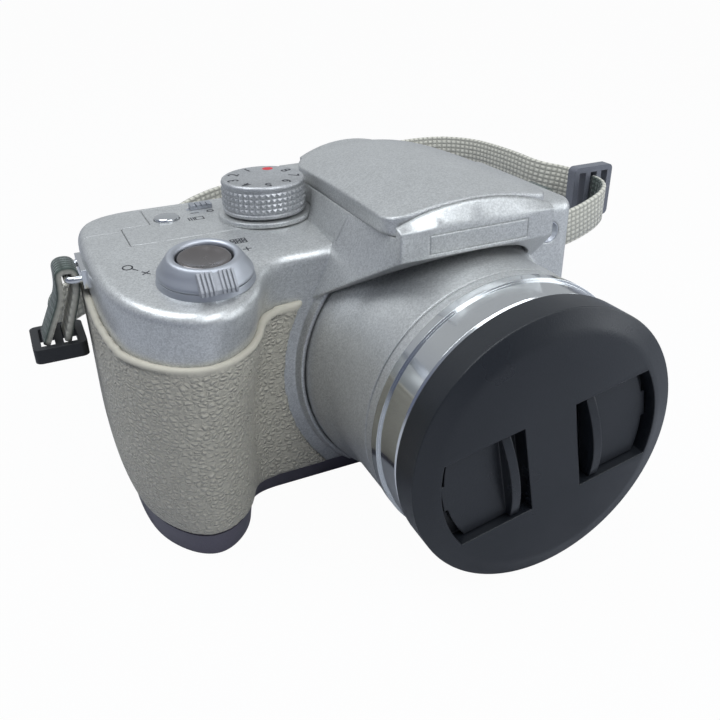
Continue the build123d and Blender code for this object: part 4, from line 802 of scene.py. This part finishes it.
class CAMERAPART_OT_stage(Operator):
    """Camera at the photograph's angle, pale floor, white backdrop and soft lamps"""

    bl_idname = "camera_part.stage"
    bl_label = "Stage"

    def execute(self, context):
        scene = context.scene
        studio = scene.camera_part.studio
        scene.view_settings.view_transform = "Standard"
        self.place_camera(scene)
        self.light_world(scene, studio)
        self.lay_floor(scene, studio)
        self.hang_lamp(scene, "key_lamp", KEY_LAMP, studio.key_power)
        self.hang_lamp(scene, "front_lamp", FRONT_LAMP, studio.front_power)
        self.hang_lamp(scene, "window_lamp", WINDOW_LAMP, studio.window_power)
        return {"FINISHED"}

    def place_camera(self, scene):
        """Camera that took the photograph."""
        data = bpy.data.cameras.new("photo_camera")
        data.lens = PHOTO_LENS
        data.sensor_width = 36.0
        camera = bpy.data.objects.new("photo_camera", data)
        turn = (Matrix.Rotation(math.radians(PHOTO_AZIMUTH), 4, "Z")
                @ Matrix.Rotation(math.radians(90 - PHOTO_ELEVATION), 4, "X")
                @ Matrix.Rotation(math.radians(PHOTO_ROLL), 4, "Z"))
        camera.matrix_world = Matrix.Translation(Vector(PHOTO_PLACE) * MM) @ turn
        scene.collection.objects.link(camera)
        scene.camera = camera

    def light_world(self, scene, studio):
        """Backdrop seen as white, and a softer room on the viewer's side."""
        world = bpy.data.worlds.new("pale_room")
        world.use_nodes = True
        tree = world.node_tree
        tree.nodes.clear()
        ray = add_node(tree, "ShaderNodeLightPath")
        seen = add_node(tree, "ShaderNodeMath", {"operation": "MAXIMUM"},
                        {0: ray.outputs["Is Camera Ray"], 1: ray.outputs["Is Transmission Ray"]})
        place = add_node(tree, "ShaderNodeTexCoord").outputs["Generated"]
        toward = add_node(tree, "ShaderNodeVectorMath",
                          {"operation": "DOT_PRODUCT", 1: BACKDROP_SIDE}, {0: place})
        far = spread(tree, toward.outputs["Value"], 0.0, 1.0, -0.55, 0.45)
        room = blend_colours(tree, far, studio.room, studio.sky)
        soft = add_node(tree, "ShaderNodeBackground", {"Strength": BACKDROP_STRENGTH},
                        {"Color": room})
        shown = add_node(tree, "ShaderNodeBackground", {"Strength": 1.0}, {"Color": room})
        white = add_node(tree, "ShaderNodeBackground", {"Color": (1, 1, 1, 1), "Strength": 1.0})
        gloss = add_node(tree, "ShaderNodeMixShader",
                         links={"Fac": ray.outputs["Is Glossy Ray"], 1: soft.outputs[0],
                                2: shown.outputs[0]})
        both = add_node(tree, "ShaderNodeMixShader",
                        links={"Fac": seen.outputs["Value"], 1: gloss.outputs[0],
                               2: white.outputs[0]})
        add_node(tree, "ShaderNodeOutputWorld", links={"Surface": both.outputs[0]})
        scene.world = world

    def lay_floor(self, scene, studio):
        """Wide pale floor under the camera, which keeps its shadow."""
        low = CAD_BOX[0][2]
        form = bmesh.new()
        corners = [form.verts.new((x * FLOOR_REACH, y * FLOOR_REACH, low))
                   for x, y in ((-1, -1), (1, -1), (1, 1), (-1, 1))]
        form.faces.new(corners)
        mesh = bpy.data.meshes.new("floor")
        form.to_mesh(mesh)
        form.free()
        floor = bpy.data.objects.new("floor", mesh)
        scene.collection.objects.link(floor)
        material = bpy.data.materials.new("pale_floor")
        material.use_nodes = True
        tree = material.node_tree
        tree.nodes.clear()
        ray = add_node(tree, "ShaderNodeLightPath")
        paper = add_node(tree, "ShaderNodeBsdfDiffuse", {"Color": opaque(studio.floor)})
        glow = add_node(tree, "ShaderNodeEmission", {"Color": (1, 1, 1, 1), "Strength": 1.0})
        share = add_node(tree, "ShaderNodeMath", {"operation": "MULTIPLY", 1: FLOOR_GLOW},
                         {0: ray.outputs["Is Camera Ray"]})
        mixed = add_node(tree, "ShaderNodeMixShader",
                         links={"Fac": share.outputs["Value"], 1: paper.outputs[0],
                                2: glow.outputs[0]})
        add_node(tree, "ShaderNodeOutputMaterial", links={"Surface": mixed.outputs[0]})
        mesh.materials.append(material)

    def hang_lamp(self, scene, name, setting, power):
        """Square soft lamp that faces a target."""
        place, target, size = setting
        data = bpy.data.lights.new(name, "AREA")
        data.shape = "SQUARE"
        data.size = size
        data.energy = power
        data.color = LAMP_TINT
        lamp = bpy.data.objects.new(name, data)
        start, end = Vector(place) * MM, Vector(target) * MM
        turn = (end - start).to_track_quat("-Z", "Y").to_matrix().to_4x4()
        lamp.matrix_world = Matrix.Translation(start) @ turn
        scene.collection.objects.link(lamp)


class CAMERAPART_OT_finishes(Operator):
    """Finish of every node of the frame, with smooth shading over its curved faces"""

    bl_idname = "camera_part.finishes"
    bl_label = "Finishes"

    def execute(self, context):
        part = context.scene.camera_part
        finishes = make_finishes(part.colours, part.grip, part.strap)
        for key, material in finishes.items():
            part["finish_" + key] = material.name
        shading = self.shading_tree()
        for key, names in NODE_FINISHES.items():
            for name in names:
                node = frame["nodes"][name]
                node.data.materials.clear()
                node.data.materials.append(finishes[key])
                modifier = node.modifiers.new("smooth_faces", "NODES")
                modifier.node_group = shading
        return {"FINISHED"}

    def shading_tree(self):
        """Merges a node's loose triangles and shades smooth the edges under 30 degrees."""
        tree = bpy.data.node_groups.new("smooth_faces", "GeometryNodeTree")
        tree.interface.new_socket("Geometry", in_out="INPUT", socket_type="NodeSocketGeometry")
        tree.interface.new_socket("Geometry", in_out="OUTPUT", socket_type="NodeSocketGeometry")
        start = add_node(tree, "NodeGroupInput")
        merged = add_node(tree, "GeometryNodeMergeByDistance", {"Distance": 0.001 * MM},
                          {"Geometry": start.outputs[0]})
        angle = add_node(tree, "GeometryNodeInputMeshEdgeAngle")
        sharp = add_node(tree, "FunctionNodeCompare", {"operation": "LESS_THAN",
                                                       "B": math.radians(30)},
                         {"A": angle.outputs["Unsigned Angle"]})
        faces = add_node(tree, "GeometryNodeSetShadeSmooth", {"domain": "FACE", "Shade Smooth": True},
                         {"Geometry": merged.outputs["Geometry"]})
        edges = add_node(tree, "GeometryNodeSetShadeSmooth", {"domain": "EDGE"},
                         {"Geometry": faces.outputs["Geometry"],
                          "Shade Smooth": sharp.outputs["Result"]})
        add_node(tree, "NodeGroupOutput", links={0: edges.outputs["Geometry"]})
        return tree


class CAMERAPART_OT_strap(Operator):
    """Ribbed neck strap behind the camera, and its folded ends at the two lugs"""

    bl_idname = "camera_part.strap"
    bl_label = "Strap"

    def execute(self, context):
        strap = context.scene.camera_part.strap
        webbing = finish_of("webbing")
        self.lay_band(strap, webbing)
        left = self.fold(strap, webbing, -1, LEFT_LUG_X, "strap_fold_left")
        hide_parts("strap_end_left")
        right = self.fold(strap, webbing, 1, RIGHT_LUG_X, "strap_fold_right")
        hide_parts("strap_end_right")
        self.link(strap, webbing)
        return {"FINISHED"}

    def lay_band(self, strap, webbing):
        """Long band from the left slide to the right slide."""
        line = smooth_line(STRAP_ROUTE)
        spine = spine_of(line, lambda n, point: Vector((0, 0, 1)))
        mesh = ribbon_mesh("strap_band", spine, strap.width, strap.thickness)
        band = new_object("strap_band", mesh, webbing, "camera_body")
        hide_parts("strap_webbing")

    def fold(self, strap, webbing, side, lug_x, name):
        """Webbing folded over a lug, with its two legs hanging down to the slide."""
        line = smooth_line([(lug_x + side * out, LUG_Y, LUG_Z - down) for out, down in FOLD_ROUTE])
        spine = spine_of(line, lambda n, point: Vector((0, side, 0)))
        mesh = ribbon_mesh(name, spine, strap.end_width, strap.thickness)
        return new_object(name, mesh, webbing, "camera_body")

    def link(self, strap, webbing):
        """Short link between the right fold and the right slide."""
        spine = spine_of(smooth_line(LINK_ROUTE), lambda n, point: Vector((0, 0, 1)))
        mesh = ribbon_mesh("strap_link", spine, strap.width, strap.thickness)
        new_object("strap_link", mesh, webbing, "camera_body")


class CAMERAPART_OT_grip(Operator):
    """Grained skin of the hand grip, with its rolled edge"""

    bl_idname = "camera_part.grip"
    bl_label = "Grip"

    def execute(self, context):
        grip = context.scene.camera_part.grip
        source = frame["nodes"]["grip_skin"].data
        form = bmesh.new()
        form.from_mesh(source)
        bmesh.ops.remove_doubles(form, verts=form.verts, dist=0.001 * MM)
        rims = self.rim_points(form)
        mesh = bpy.data.meshes.new("grip_pad")
        form.to_mesh(mesh)
        form.free()
        pad = bpy.data.objects.new("grip_pad", mesh)
        context.scene.collection.objects.link(pad)
        fine = pad.modifiers.new("fine", "REMESH")
        fine.mode = "VOXEL"
        fine.voxel_size = grip.voxel
        even = pad.modifiers.new("even", "SMOOTH")
        even.factor = 0.5
        even.iterations = 3
        graph = context.evaluated_depsgraph_get()
        skin = bpy.data.meshes.new_from_object(pad.evaluated_get(graph))
        bpy.data.objects.remove(pad)
        self.roll_edge(skin, rims, grip)
        for polygon in skin.polygons:
            polygon.use_smooth = True
        skin.name = "grip_pad"
        pad = new_object("grip_pad", skin, finish_of("rubber"), "camera_body")
        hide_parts("grip_skin")
        return {"FINISHED"}

    def rim_points(self, form):
        """Points along the sharp edges at the top of the skin, which are rolled."""
        tree = KDTree(RIM_POINTS)
        count = 0
        for edge in form.edges:
            if not edge.is_manifold or edge.calc_face_angle(0.0) < math.radians(50):
                continue
            start, end = edge.verts[0].co, edge.verts[1].co
            if min(start.z, end.z) < ROLL_LOW or abs(end.z - start.z) > 0.8 * edge.calc_length():
                continue
            steps = max(1, int((end - start).length / RIM_STEP))
            for n in range(steps + 1):
                tree.insert(start.lerp(end, n / steps), count)
                count += 1
        tree.balance()
        return tree

    def roll_edge(self, skin, rims, grip):
        """Raises the edge into a roll, and marks it and the thin line inside it, which is painted dark as
        the shade of a groove.
        """
        edge = skin.attributes.new("edge", "FLOAT", "POINT")
        groove_shade = skin.attributes.new("groove_shade", "FLOAT", "POINT")
        normals = [vertex.normal.copy() for vertex in skin.vertices]
        for vertex, normal in zip(skin.vertices, normals):
            away = rims.find(vertex.co)[2]
            share = away / grip.rim
            roll = math.sin(math.pi * min(1.0, share)) if share < 1.0 else 0.0
            vertex.co += normal * grip.roll * roll
            edge.data[vertex.index].value = 1.0 - ease((share - 0.85) / 0.3)
            # Mask of the thin line that is painted dark as the shade of a groove
            groove_shade.data[vertex.index].value = max(0.0, 1.0 - abs(share - 1.12) / 0.22)


class CAMERAPART_OT_dial(Operator):
    """Mode dial with its rows of points, its numbers and its accent mark"""

    bl_idname = "camera_part.dial"
    bl_label = "Mode dial"

    def execute(self, context):
        dial = context.scene.camera_part.dial
        low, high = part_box("mode_dial")
        middle = (low + high) / 2
        radius = (high.x - low.x) / 2 / MM
        top = high.z / MM
        foot = top - DIAL_HEIGHT
        wall = radius - DIAL_WALL_INSET
        outline = [(0, foot), (radius - 0.5, foot), (radius - 0.25, foot + 0.2),
                   (radius - 0.2, foot + 0.75), (wall, foot + 0.95),
                   (wall, top - 1.1), (radius - 0.25, top - 1.0),
                   (radius - 0.2, top - 0.7), (radius - 0.4, top - 0.25), (radius - 0.75, top - 0.02),
                   (radius - 0.95, top), (radius - 1.1, top - 0.1), (0, top - 0.1)]
        place = Matrix.Translation((middle.x, middle.y, 0))
        mesh = turned_mesh("dial_body", outline, place)
        body = new_object("dial_body", mesh, finish_of("dial"), "mode_dial")
        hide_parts("mode_dial")
        end, start = foot - DIAL_STEM_DEPTH, foot + 0.5
        stem = turned_mesh("dial_stem", [(0, end), (DIAL_STEM_RADIUS, end),
                                         (DIAL_STEM_RADIUS, start), (0, start)], place, 32)
        new_object("dial_stem", stem, finish_of("steel"), "mode_dial")
        self.knurl(context, dial, place, wall, foot * MM + dial.low)
        self.numbers(context, dial, place, radius, top - 0.1)
        return {"FINISHED"}

    def knurl(self, context, dial, place, radius, low):
        """Rows of small four-sided points round the dial's edge."""
        tree = bpy.data.node_groups.new("knurl", "GeometryNodeTree")
        tree.interface.new_socket("Geometry", in_out="OUTPUT", socket_type="NodeSocketGeometry")
        sizes = (("Rows", "NodeSocketInt", dial.rows), ("Count", "NodeSocketInt", dial.count),
                 ("Radius", "NodeSocketFloat", radius * MM), ("Low", "NodeSocketFloat", low),
                 ("Pitch", "NodeSocketFloat", dial.pitch),
                 ("Finish", "NodeSocketMaterial", finish_of("dial")))
        keys = {}
        for name, kind, value in sizes:
            socket = tree.interface.new_socket(name, in_out="INPUT", socket_type=kind)
            keys[socket.identifier] = value
        size = add_node(tree, "NodeGroupInput").outputs
        total = add_node(tree, "ShaderNodeMath", {"operation": "MULTIPLY"},
                         {0: size["Rows"], 1: size["Count"]})
        index = add_node(tree, "GeometryNodeInputIndex").outputs["Index"]
        ratio = add_node(tree, "ShaderNodeMath", {"operation": "DIVIDE"}, {0: index, 1: size["Count"]})
        row = add_node(tree, "ShaderNodeMath", {"operation": "FLOOR"}, {0: ratio.outputs[0]})
        share = add_node(tree, "ShaderNodeMath", {"operation": "FRACT"}, {0: ratio.outputs[0]})
        angle = add_node(tree, "ShaderNodeMath", {"operation": "MULTIPLY", 1: 2 * math.pi},
                         {0: share.outputs[0]})
        level = add_node(tree, "ShaderNodeMath", {"operation": "MULTIPLY_ADD"},
                         {0: row.outputs[0], 1: size["Pitch"], 2: size["Low"]})
        rise = add_node(tree, "ShaderNodeMath", {"operation": "MULTIPLY_ADD", 1: 0.5},
                        {0: size["Pitch"], 2: level.outputs[0]})
        spot = add_node(tree, "ShaderNodeCombineXYZ", links={"X": size["Radius"], "Z": rise.outputs[0]})
        turn = add_node(tree, "ShaderNodeCombineXYZ", links={"Z": angle.outputs[0]})
        turned = add_node(tree, "ShaderNodeVectorRotate", {"rotation_type": "Z_AXIS"},
                          {"Vector": spot.outputs[0], "Angle": angle.outputs[0]})
        points = add_node(tree, "GeometryNodePoints",
                          links={"Count": total.outputs[0], "Position": turned.outputs[0]})
        width = 2 * math.pi * radius * MM / dial.count
        cone = add_node(tree, "GeometryNodeMeshCone",
                        {"fill_type": "NONE", "Vertices": 4, "Radius Top": 0.0,
                         "Radius Bottom": math.sqrt(0.5), "Depth": KNURL_RISE})
        square = add_node(tree, "GeometryNodeTransform",
                          {"Rotation": (0, 0, math.radians(45))},
                          {"Geometry": cone.outputs["Mesh"]})
        fitted = add_node(tree, "GeometryNodeTransform",
                          {"Scale": (dial.pitch, width, 1.0)},
                          {"Geometry": square.outputs["Geometry"]})
        outward = add_node(tree, "GeometryNodeTransform", {"Rotation": (0, math.radians(90), 0)},
                           {"Geometry": fitted.outputs["Geometry"]})
        placed = add_node(tree, "GeometryNodeInstanceOnPoints",
                          links={"Points": points.outputs[0], "Instance": outward.outputs["Geometry"],
                                 "Rotation": turn.outputs[0]})
        whole = add_node(tree, "GeometryNodeRealizeInstances", links={0: placed.outputs[0]})
        dressed = add_node(tree, "GeometryNodeSetMaterial",
                           links={"Geometry": whole.outputs[0], "Material": size["Finish"]})
        add_node(tree, "NodeGroupOutput", links={0: dressed.outputs[0]})
        mesh = grown_mesh(context, "dial_knurl", tree, keys)
        mesh.transform(place)
        new_object("dial_knurl", mesh, finish_of("dial"), "mode_dial")

    def numbers(self, context, dial, place, radius, top):
        """Numbers round the face, read from outside it, and the accent mark."""
        form = bmesh.new()
        places = dial.numbers + 1
        start = math.radians(ACCENT_TURN)
        for n in range(1, places):
            glyph = text_mesh(str(n), dial.size)
            angle = start + 2 * math.pi * n / places
            glyph.transform(place @ Matrix.Rotation(angle - math.pi / 2, 4, "Z")
                            @ Matrix.Translation((0, (radius - NUMBER_INSET) * MM,
                                                  (top + NUMBER_LIFT) * MM)))
            form.from_mesh(glyph)
            bpy.data.meshes.remove(glyph)
        mesh = bpy.data.meshes.new("dial_numbers")
        form.to_mesh(mesh)
        form.free()
        new_object("dial_numbers", mesh, finish_of("mark"), "mode_dial")
        spot = (place @ Matrix.Rotation(start, 4, "Z")
                @ Matrix.Translation(((radius - ACCENT_INSET) * MM, 0, 0)))
        low, high = top - 0.05, top + STROKE_LIFT
        mesh = turned_mesh("dial_accent", [(0, low), (ACCENT_RADIUS, low), (ACCENT_RADIUS, high),
                                           (0, high)], spot, 24)
        new_object("dial_accent", mesh, finish_of("accent"), "mode_dial")


def grown_mesh(context, name, tree, keys):
    """Plain mesh that a Geometry Nodes tree makes, with its inputs by identifier."""
    seed = bpy.data.objects.new(name, bpy.data.meshes.new(name + "_seed"))
    context.scene.collection.objects.link(seed)
    modifier = seed.modifiers.new(name, "NODES")
    modifier.node_group = tree
    for identifier, value in keys.items():
        modifier[identifier] = value
    graph = context.evaluated_depsgraph_get()
    mesh = bpy.data.meshes.new_from_object(seed.evaluated_get(graph))
    bpy.data.objects.remove(seed)
    mesh.name = name
    return mesh


def text_mesh(words, size):
    """Flat mesh of a short text, centred, with its size as height."""
    curve = bpy.data.curves.new("words", "FONT")
    curve.body = words
    curve.size = size
    curve.align_x = "CENTER"
    curve.align_y = "CENTER"
    curve.extrude = 0.004 * MM
    curve.offset = size * 0.018
    carrier = bpy.data.objects.new("words", curve)
    mesh = bpy.data.meshes.new_from_object(carrier)
    bpy.data.objects.remove(carrier)
    return mesh


def ring_place():
    """Tilted seat of the zoom ring and the shutter button."""
    joint = next(joint for joint in frame["joints"] if joint["name"] == RING_JOINT)
    turn = Vector((0, 0, 1)).rotation_difference(Vector(joint["axis"]))
    return Matrix.Translation(Vector(joint["pos_m"])) @ turn.to_matrix().to_4x4()


class CAMERAPART_OT_ring(Operator):
    """Zoom ring with its ribbed tab, the dished shutter button and the domed burst button"""

    bl_idname = "camera_part.ring"
    bl_label = "Zoom ring and buttons"

    def execute(self, context):
        ring = context.scene.camera_part.ring
        place = ring_place()
        mesh = turned_mesh("zoom_wall", RING_WALL, place)
        body = new_object("zoom_wall", mesh, finish_of("satin"), "zoom_ring")
        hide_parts("zoom_ring")
        self.tab(ring, place)
        mesh = turned_mesh("shutter_dish", SHUTTER_DISH, place)
        dish = new_object("shutter_dish", mesh, finish_of("dish"), "shutter_button")
        stem = turned_mesh("shutter_stem", SHUTTER_STEM, place, 32)
        new_object("shutter_stem", stem, finish_of("steel"), "shutter_button")
        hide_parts("shutter_button")
        self.dome()
        return {"FINISHED"}

    def dome(self):
        """Domed burst button."""
        low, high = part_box("burst_button")
        middle, top = (low + high) / 2, high.z / MM
        base = top - BURST_CROWN
        dome = [(0, base - BURST_SKIRT), (BURST_RADIUS, base - BURST_SKIRT), (BURST_RADIUS, base)]
        dome += [(BURST_RADIUS * math.cos(math.radians(angle)),
                  base + BURST_CROWN * math.sin(math.radians(angle)))
                 for angle in (15, 30, 45, 60, 75)]
        dome += [(0, top)]
        place = Matrix.Translation((middle.x, middle.y, 0))
        mesh = turned_mesh("burst_dome", dome, place, 64)
        dome = new_object("burst_dome", mesh, finish_of("chrome"), "burst_button")
        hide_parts("burst_button")

    def tab(self, ring, place):
        """Sloped tab of the zoom ring, with raised ribs on each side of its middle notch."""
        bars = [(TAB_SLOPE, -TAB_HALF, TAB_HALF)]
        half = ring.rib_width / MM / 2
        for side in (-1, 1):
            for n in range(ring.ribs):
                x = side * (FIRST_RIB + n * ring.rib_pitch / MM)
                bars.append((TAB_RIB, x - half, x + half))
        vertices, faces = [], []
        for outline, low, high in bars:
            first, count = len(vertices), len(outline)
            for x in (low, high):
                vertices += [place @ Vector((x * MM, y * MM, z * MM)) for y, z in outline]
            faces.append(tuple(first + n for n in range(count)))
            faces.append(tuple(first + count + n for n in reversed(range(count))))
            for n in range(count):
                after = (n + 1) % count
                faces.append((first + n, first + count + n, first + count + after, first + after))
        mesh = mesh_of("zoom_tab", vertices, faces, 30.0)
        new_object("zoom_tab", mesh, finish_of("button"), "zoom_ring")


class CAMERAPART_OT_front(Operator):
    """Bright bowl of the focus lamp, and the dust plate under the power switch"""

    bl_idname = "camera_part.front"
    bl_label = "Lamp and switch"

    def execute(self, context):
        low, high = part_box("lamp_lens")
        middle, radius = (low + high) / 2, (high.x - low.x) / 2 / MM
        turn = Matrix.Translation((middle.x, low.y, middle.z)) @ Matrix.Rotation(
            math.radians(90), 4, "X")
        bowl = [(0, -1.5), (0.9, -1.5), (1.3, -1.3), (2.0, -0.5), (radius - 0.25, -0.02),
                (radius, -0.05), (radius, -0.6), (1.6, -1.8), (0, -1.8)]
        mesh = turned_mesh("lamp_bowl", bowl, turn, 48)
        bowl = new_object("lamp_bowl", mesh, finish_of("satin"), "camera_body")
        lens = [(0, -1.05), (0.5, -1.12), (0.95, -1.4), (0, -1.45)]
        mesh = turned_mesh("lamp_bead", lens, turn, 32)
        new_object("lamp_bead", mesh, finish_of("glass"), "camera_body")
        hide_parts("lamp_lens")
        low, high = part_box("power_switch")
        level = high.z - PLATE_DEPTH
        left, right = low.x - PLATE_REACH, high.x + PLATE_REACH
        front, rear = low.y - PLATE_SIDE, high.y + PLATE_SIDE
        corners = [(x, y, z) for z in (level - PLATE_SHEET, level)
                   for x, y in ((left, front), (right, front), (right, rear), (left, rear))]
        sides = [(0, 3, 2, 1), (4, 5, 6, 7)] + [(n, (n + 1) % 4, (n + 1) % 4 + 4, n + 4)
                                                for n in range(4)]
        plate = mesh_of("switch_dust_plate", corners, sides)
        new_object("switch_dust_plate", plate, finish_of("satin"), "power_switch")
        return {"FINISHED"}


class CAMERAPART_OT_marks(Operator):
    """Printed marks of the top, the back and the pad: pictograms without words"""

    bl_idname = "camera_part.marks"
    bl_label = "Printed marks"

    def execute(self, context):
        surface = self.surface_of("top_panel", "front_cover", "rear_cover")
        mesh = self.ink_mesh("top_marks", self.top_strokes(), surface, STROKE, False)
        new_object("top_marks", mesh, finish_of("mark"), "camera_body")
        surface = self.surface_of("rear_cover")
        mesh = self.ink_mesh("rear_marks", self.rear_strokes(), surface, STROKE, True)
        new_object("rear_marks", mesh, finish_of("mark"), "camera_body")
        surface = self.surface_of("cursor_pad")
        mesh = self.ink_mesh("pad_marks", self.pad_strokes(), surface, PAD_STROKE, True)
        new_object("pad_marks", mesh, finish_of("mark"), "cursor_pad")
        return {"FINISHED"}

    def top_strokes(self):
        """Signs by the zoom ring, the burst button and the power switch."""
        strokes = self.circle(*FAR_MARK, 0.95)
        strokes += self.lines(FAR_MARK, ((0.6, -0.7), (1.6, -1.8)))
        strokes += self.lines(CROSS_MARK, ((-0.7, -0.5), (0.7, 0.5)), ((-0.6, 0.7), (0.6, -0.7)))
        for row in range(2):
            for column in range(3):
                strokes += self.square(WIDE_MARK[0] + column * 1.2, WIDE_MARK[1] + row * 1.2, 0.4)
        strokes += self.lines(PLUS_MARK, ((-0.8, 0), (0.8, 0)), ((0, 0.8), (0, -0.8)))
        for n in range(3):
            strokes += self.lines(BURST_MARK, ((n * 0.55, -0.9), (n * 0.55, 0.9)))
        strokes += self.square(BURST_MARK[0] + 2.4, BURST_MARK[1], 0.9)
        strokes += self.lines(OFF_MARK, ((-0.9, 0), (0.9, 0)))
        strokes += self.circle(*ON_MARK, 0.7)
        strokes += self.lines(TRAVEL_MARK, ((-2.0, -0.6), (0, 0)), ((0, 0), (2.2, -0.2)))
        return strokes

    def rear_strokes(self):
        """Signs by the three buttons at the rear."""
        strokes = self.square(*DISPLAY_MARK, 0.8) + self.circle(*DELETE_MARK, 0.8)
        strokes += self.lines(DELETE_MARK, ((0.5, -0.5), (-0.5, 0.5)))
        strokes += self.lines(EXPOSURE_MARK, ((-0.8, 0), (0.8, 0)), ((0, -0.8), (0, 0.8)))
        return strokes

    def pad_strokes(self):
        """Arrow heads at the four sides of the pad."""
        strokes = []
        for n in range(4):
            turn = Matrix.Rotation(n * math.pi / 2, 2)
            ends = [turn @ Vector(corner) for corner in PAD_ARROW]
            strokes += self.lines(PAD_MIDDLE, ends[:2], ends[1:])
        return strokes

    def lines(self, place, *ends):
        """Straight strokes, each from end to end, measured from a place."""
        return [(Vector(place) + Vector(start), Vector(place) + Vector(end)) for start, end in ends]

    def surface_of(self, *names):
        """Surface that the marks lie on."""
        form = bmesh.new()
        for name in names:
            form.from_mesh(frame["nodes"][name].data)
        tree = BVHTree.FromBMesh(form)
        form.free()
        return tree

    def circle(self, x, y, radius):
        """Strokes of a small circle."""
        steps = 16
        points = [(x + radius * math.cos(2 * math.pi * n / steps),
                   y + radius * math.sin(2 * math.pi * n / steps)) for n in range(steps + 1)]
        return list(zip(points, points[1:]))

    def square(self, x, y, half):
        """Strokes of a small square."""
        points = [(x - half, y - half), (x + half, y - half), (x + half, y + half),
                  (x - half, y + half), (x - half, y - half)]
        return list(zip(points, points[1:]))

    def ink_mesh(self, name, strokes, surface, width, rear):
        """Thin flat strokes in millimetres, laid on the surface from above or from the rear."""
        vertices, faces = [], []
        outward = Vector((0, 1, 0)) if rear else Vector((0, 0, 1))
        for start, end in strokes:
            along = (Vector(end) - Vector(start)).normalized() * width / 2
            side = Vector((-along.y, along.x))
            corners = [Vector(start) - along - side, Vector(end) + along - side,
                       Vector(end) + along + side, Vector(start) - along + side]
            if rear:
                starts = [Vector((corner.x * MM, 0.1, corner.y * MM)) for corner in corners[::-1]]
            else:
                starts = [Vector((corner.x * MM, corner.y * MM, 0.1)) for corner in corners]
            hits = [surface.ray_cast(start_place, -outward)[0] for start_place in starts]
            if None in hits:
                raise ValueError("a printed mark at {0} hangs over an opening".format(start))
            first = len(vertices)
            for lift in (STROKE_LIFT, -STROKE_DEPTH):
                vertices += [hit + outward * lift * MM for hit in hits]
            faces.append((first, first + 1, first + 2, first + 3))
            faces.append((first + 7, first + 6, first + 5, first + 4))
            for n in range(4):
                after = (n + 1) % 4
                faces.append((first + n, first + 4 + n, first + 4 + after, first + after))
        return mesh_of(name, vertices, faces)


class CAMERAPART_PT_panel(Panel):
    """Sidebar panel of the camera"""

    bl_idname = "CAMERAPART_PT_panel"
    bl_label = "Bridge camera"
    bl_space_type = "VIEW_3D"
    bl_region_type = "UI"
    bl_category = "Camera"

    def draw(self, context):
        part = context.scene.camera_part
        for group in (part.studio, part.colours, part.grip, part.dial, part.ring, part.strap):
            box = self.layout.box()
            for name in group.__annotations__:
                box.prop(group, name)
        for piece in PIECES:
            self.layout.operator(piece.bl_idname)


PIECES = (
    CAMERAPART_OT_stage,
    CAMERAPART_OT_finishes,
    CAMERAPART_OT_strap,
    CAMERAPART_OT_grip,
    CAMERAPART_OT_dial,
    CAMERAPART_OT_ring,
    CAMERAPART_OT_front,
    CAMERAPART_OT_marks,
)
GROUPS = (CameraStudio, CameraColours, CameraGrip, CameraDial, CameraRing, CameraStrap, CameraPart)


def register():
    """Registers the settings, the operators and the panel."""
    for group in GROUPS + PIECES + (CAMERAPART_PT_panel,):
        bpy.utils.register_class(group)
    bpy.types.Scene.camera_part = PointerProperty(type=CameraPart)


def unregister():
    """Takes the settings, the operators and the panel away."""
    del bpy.types.Scene.camera_part
    for group in reversed(GROUPS + PIECES + (CAMERAPART_PT_panel,)):
        bpy.utils.unregister_class(group)


def main():
    """Dresses the camera, piece by piece."""
    register()
    bpy.ops.camera_part.stage()
    bpy.ops.camera_part.finishes()
    bpy.ops.camera_part.strap()
    bpy.ops.camera_part.grip()
    bpy.ops.camera_part.dial()
    bpy.ops.camera_part.ring()
    bpy.ops.camera_part.front()
    bpy.ops.camera_part.marks()


if __name__ == "__main__":
    main()
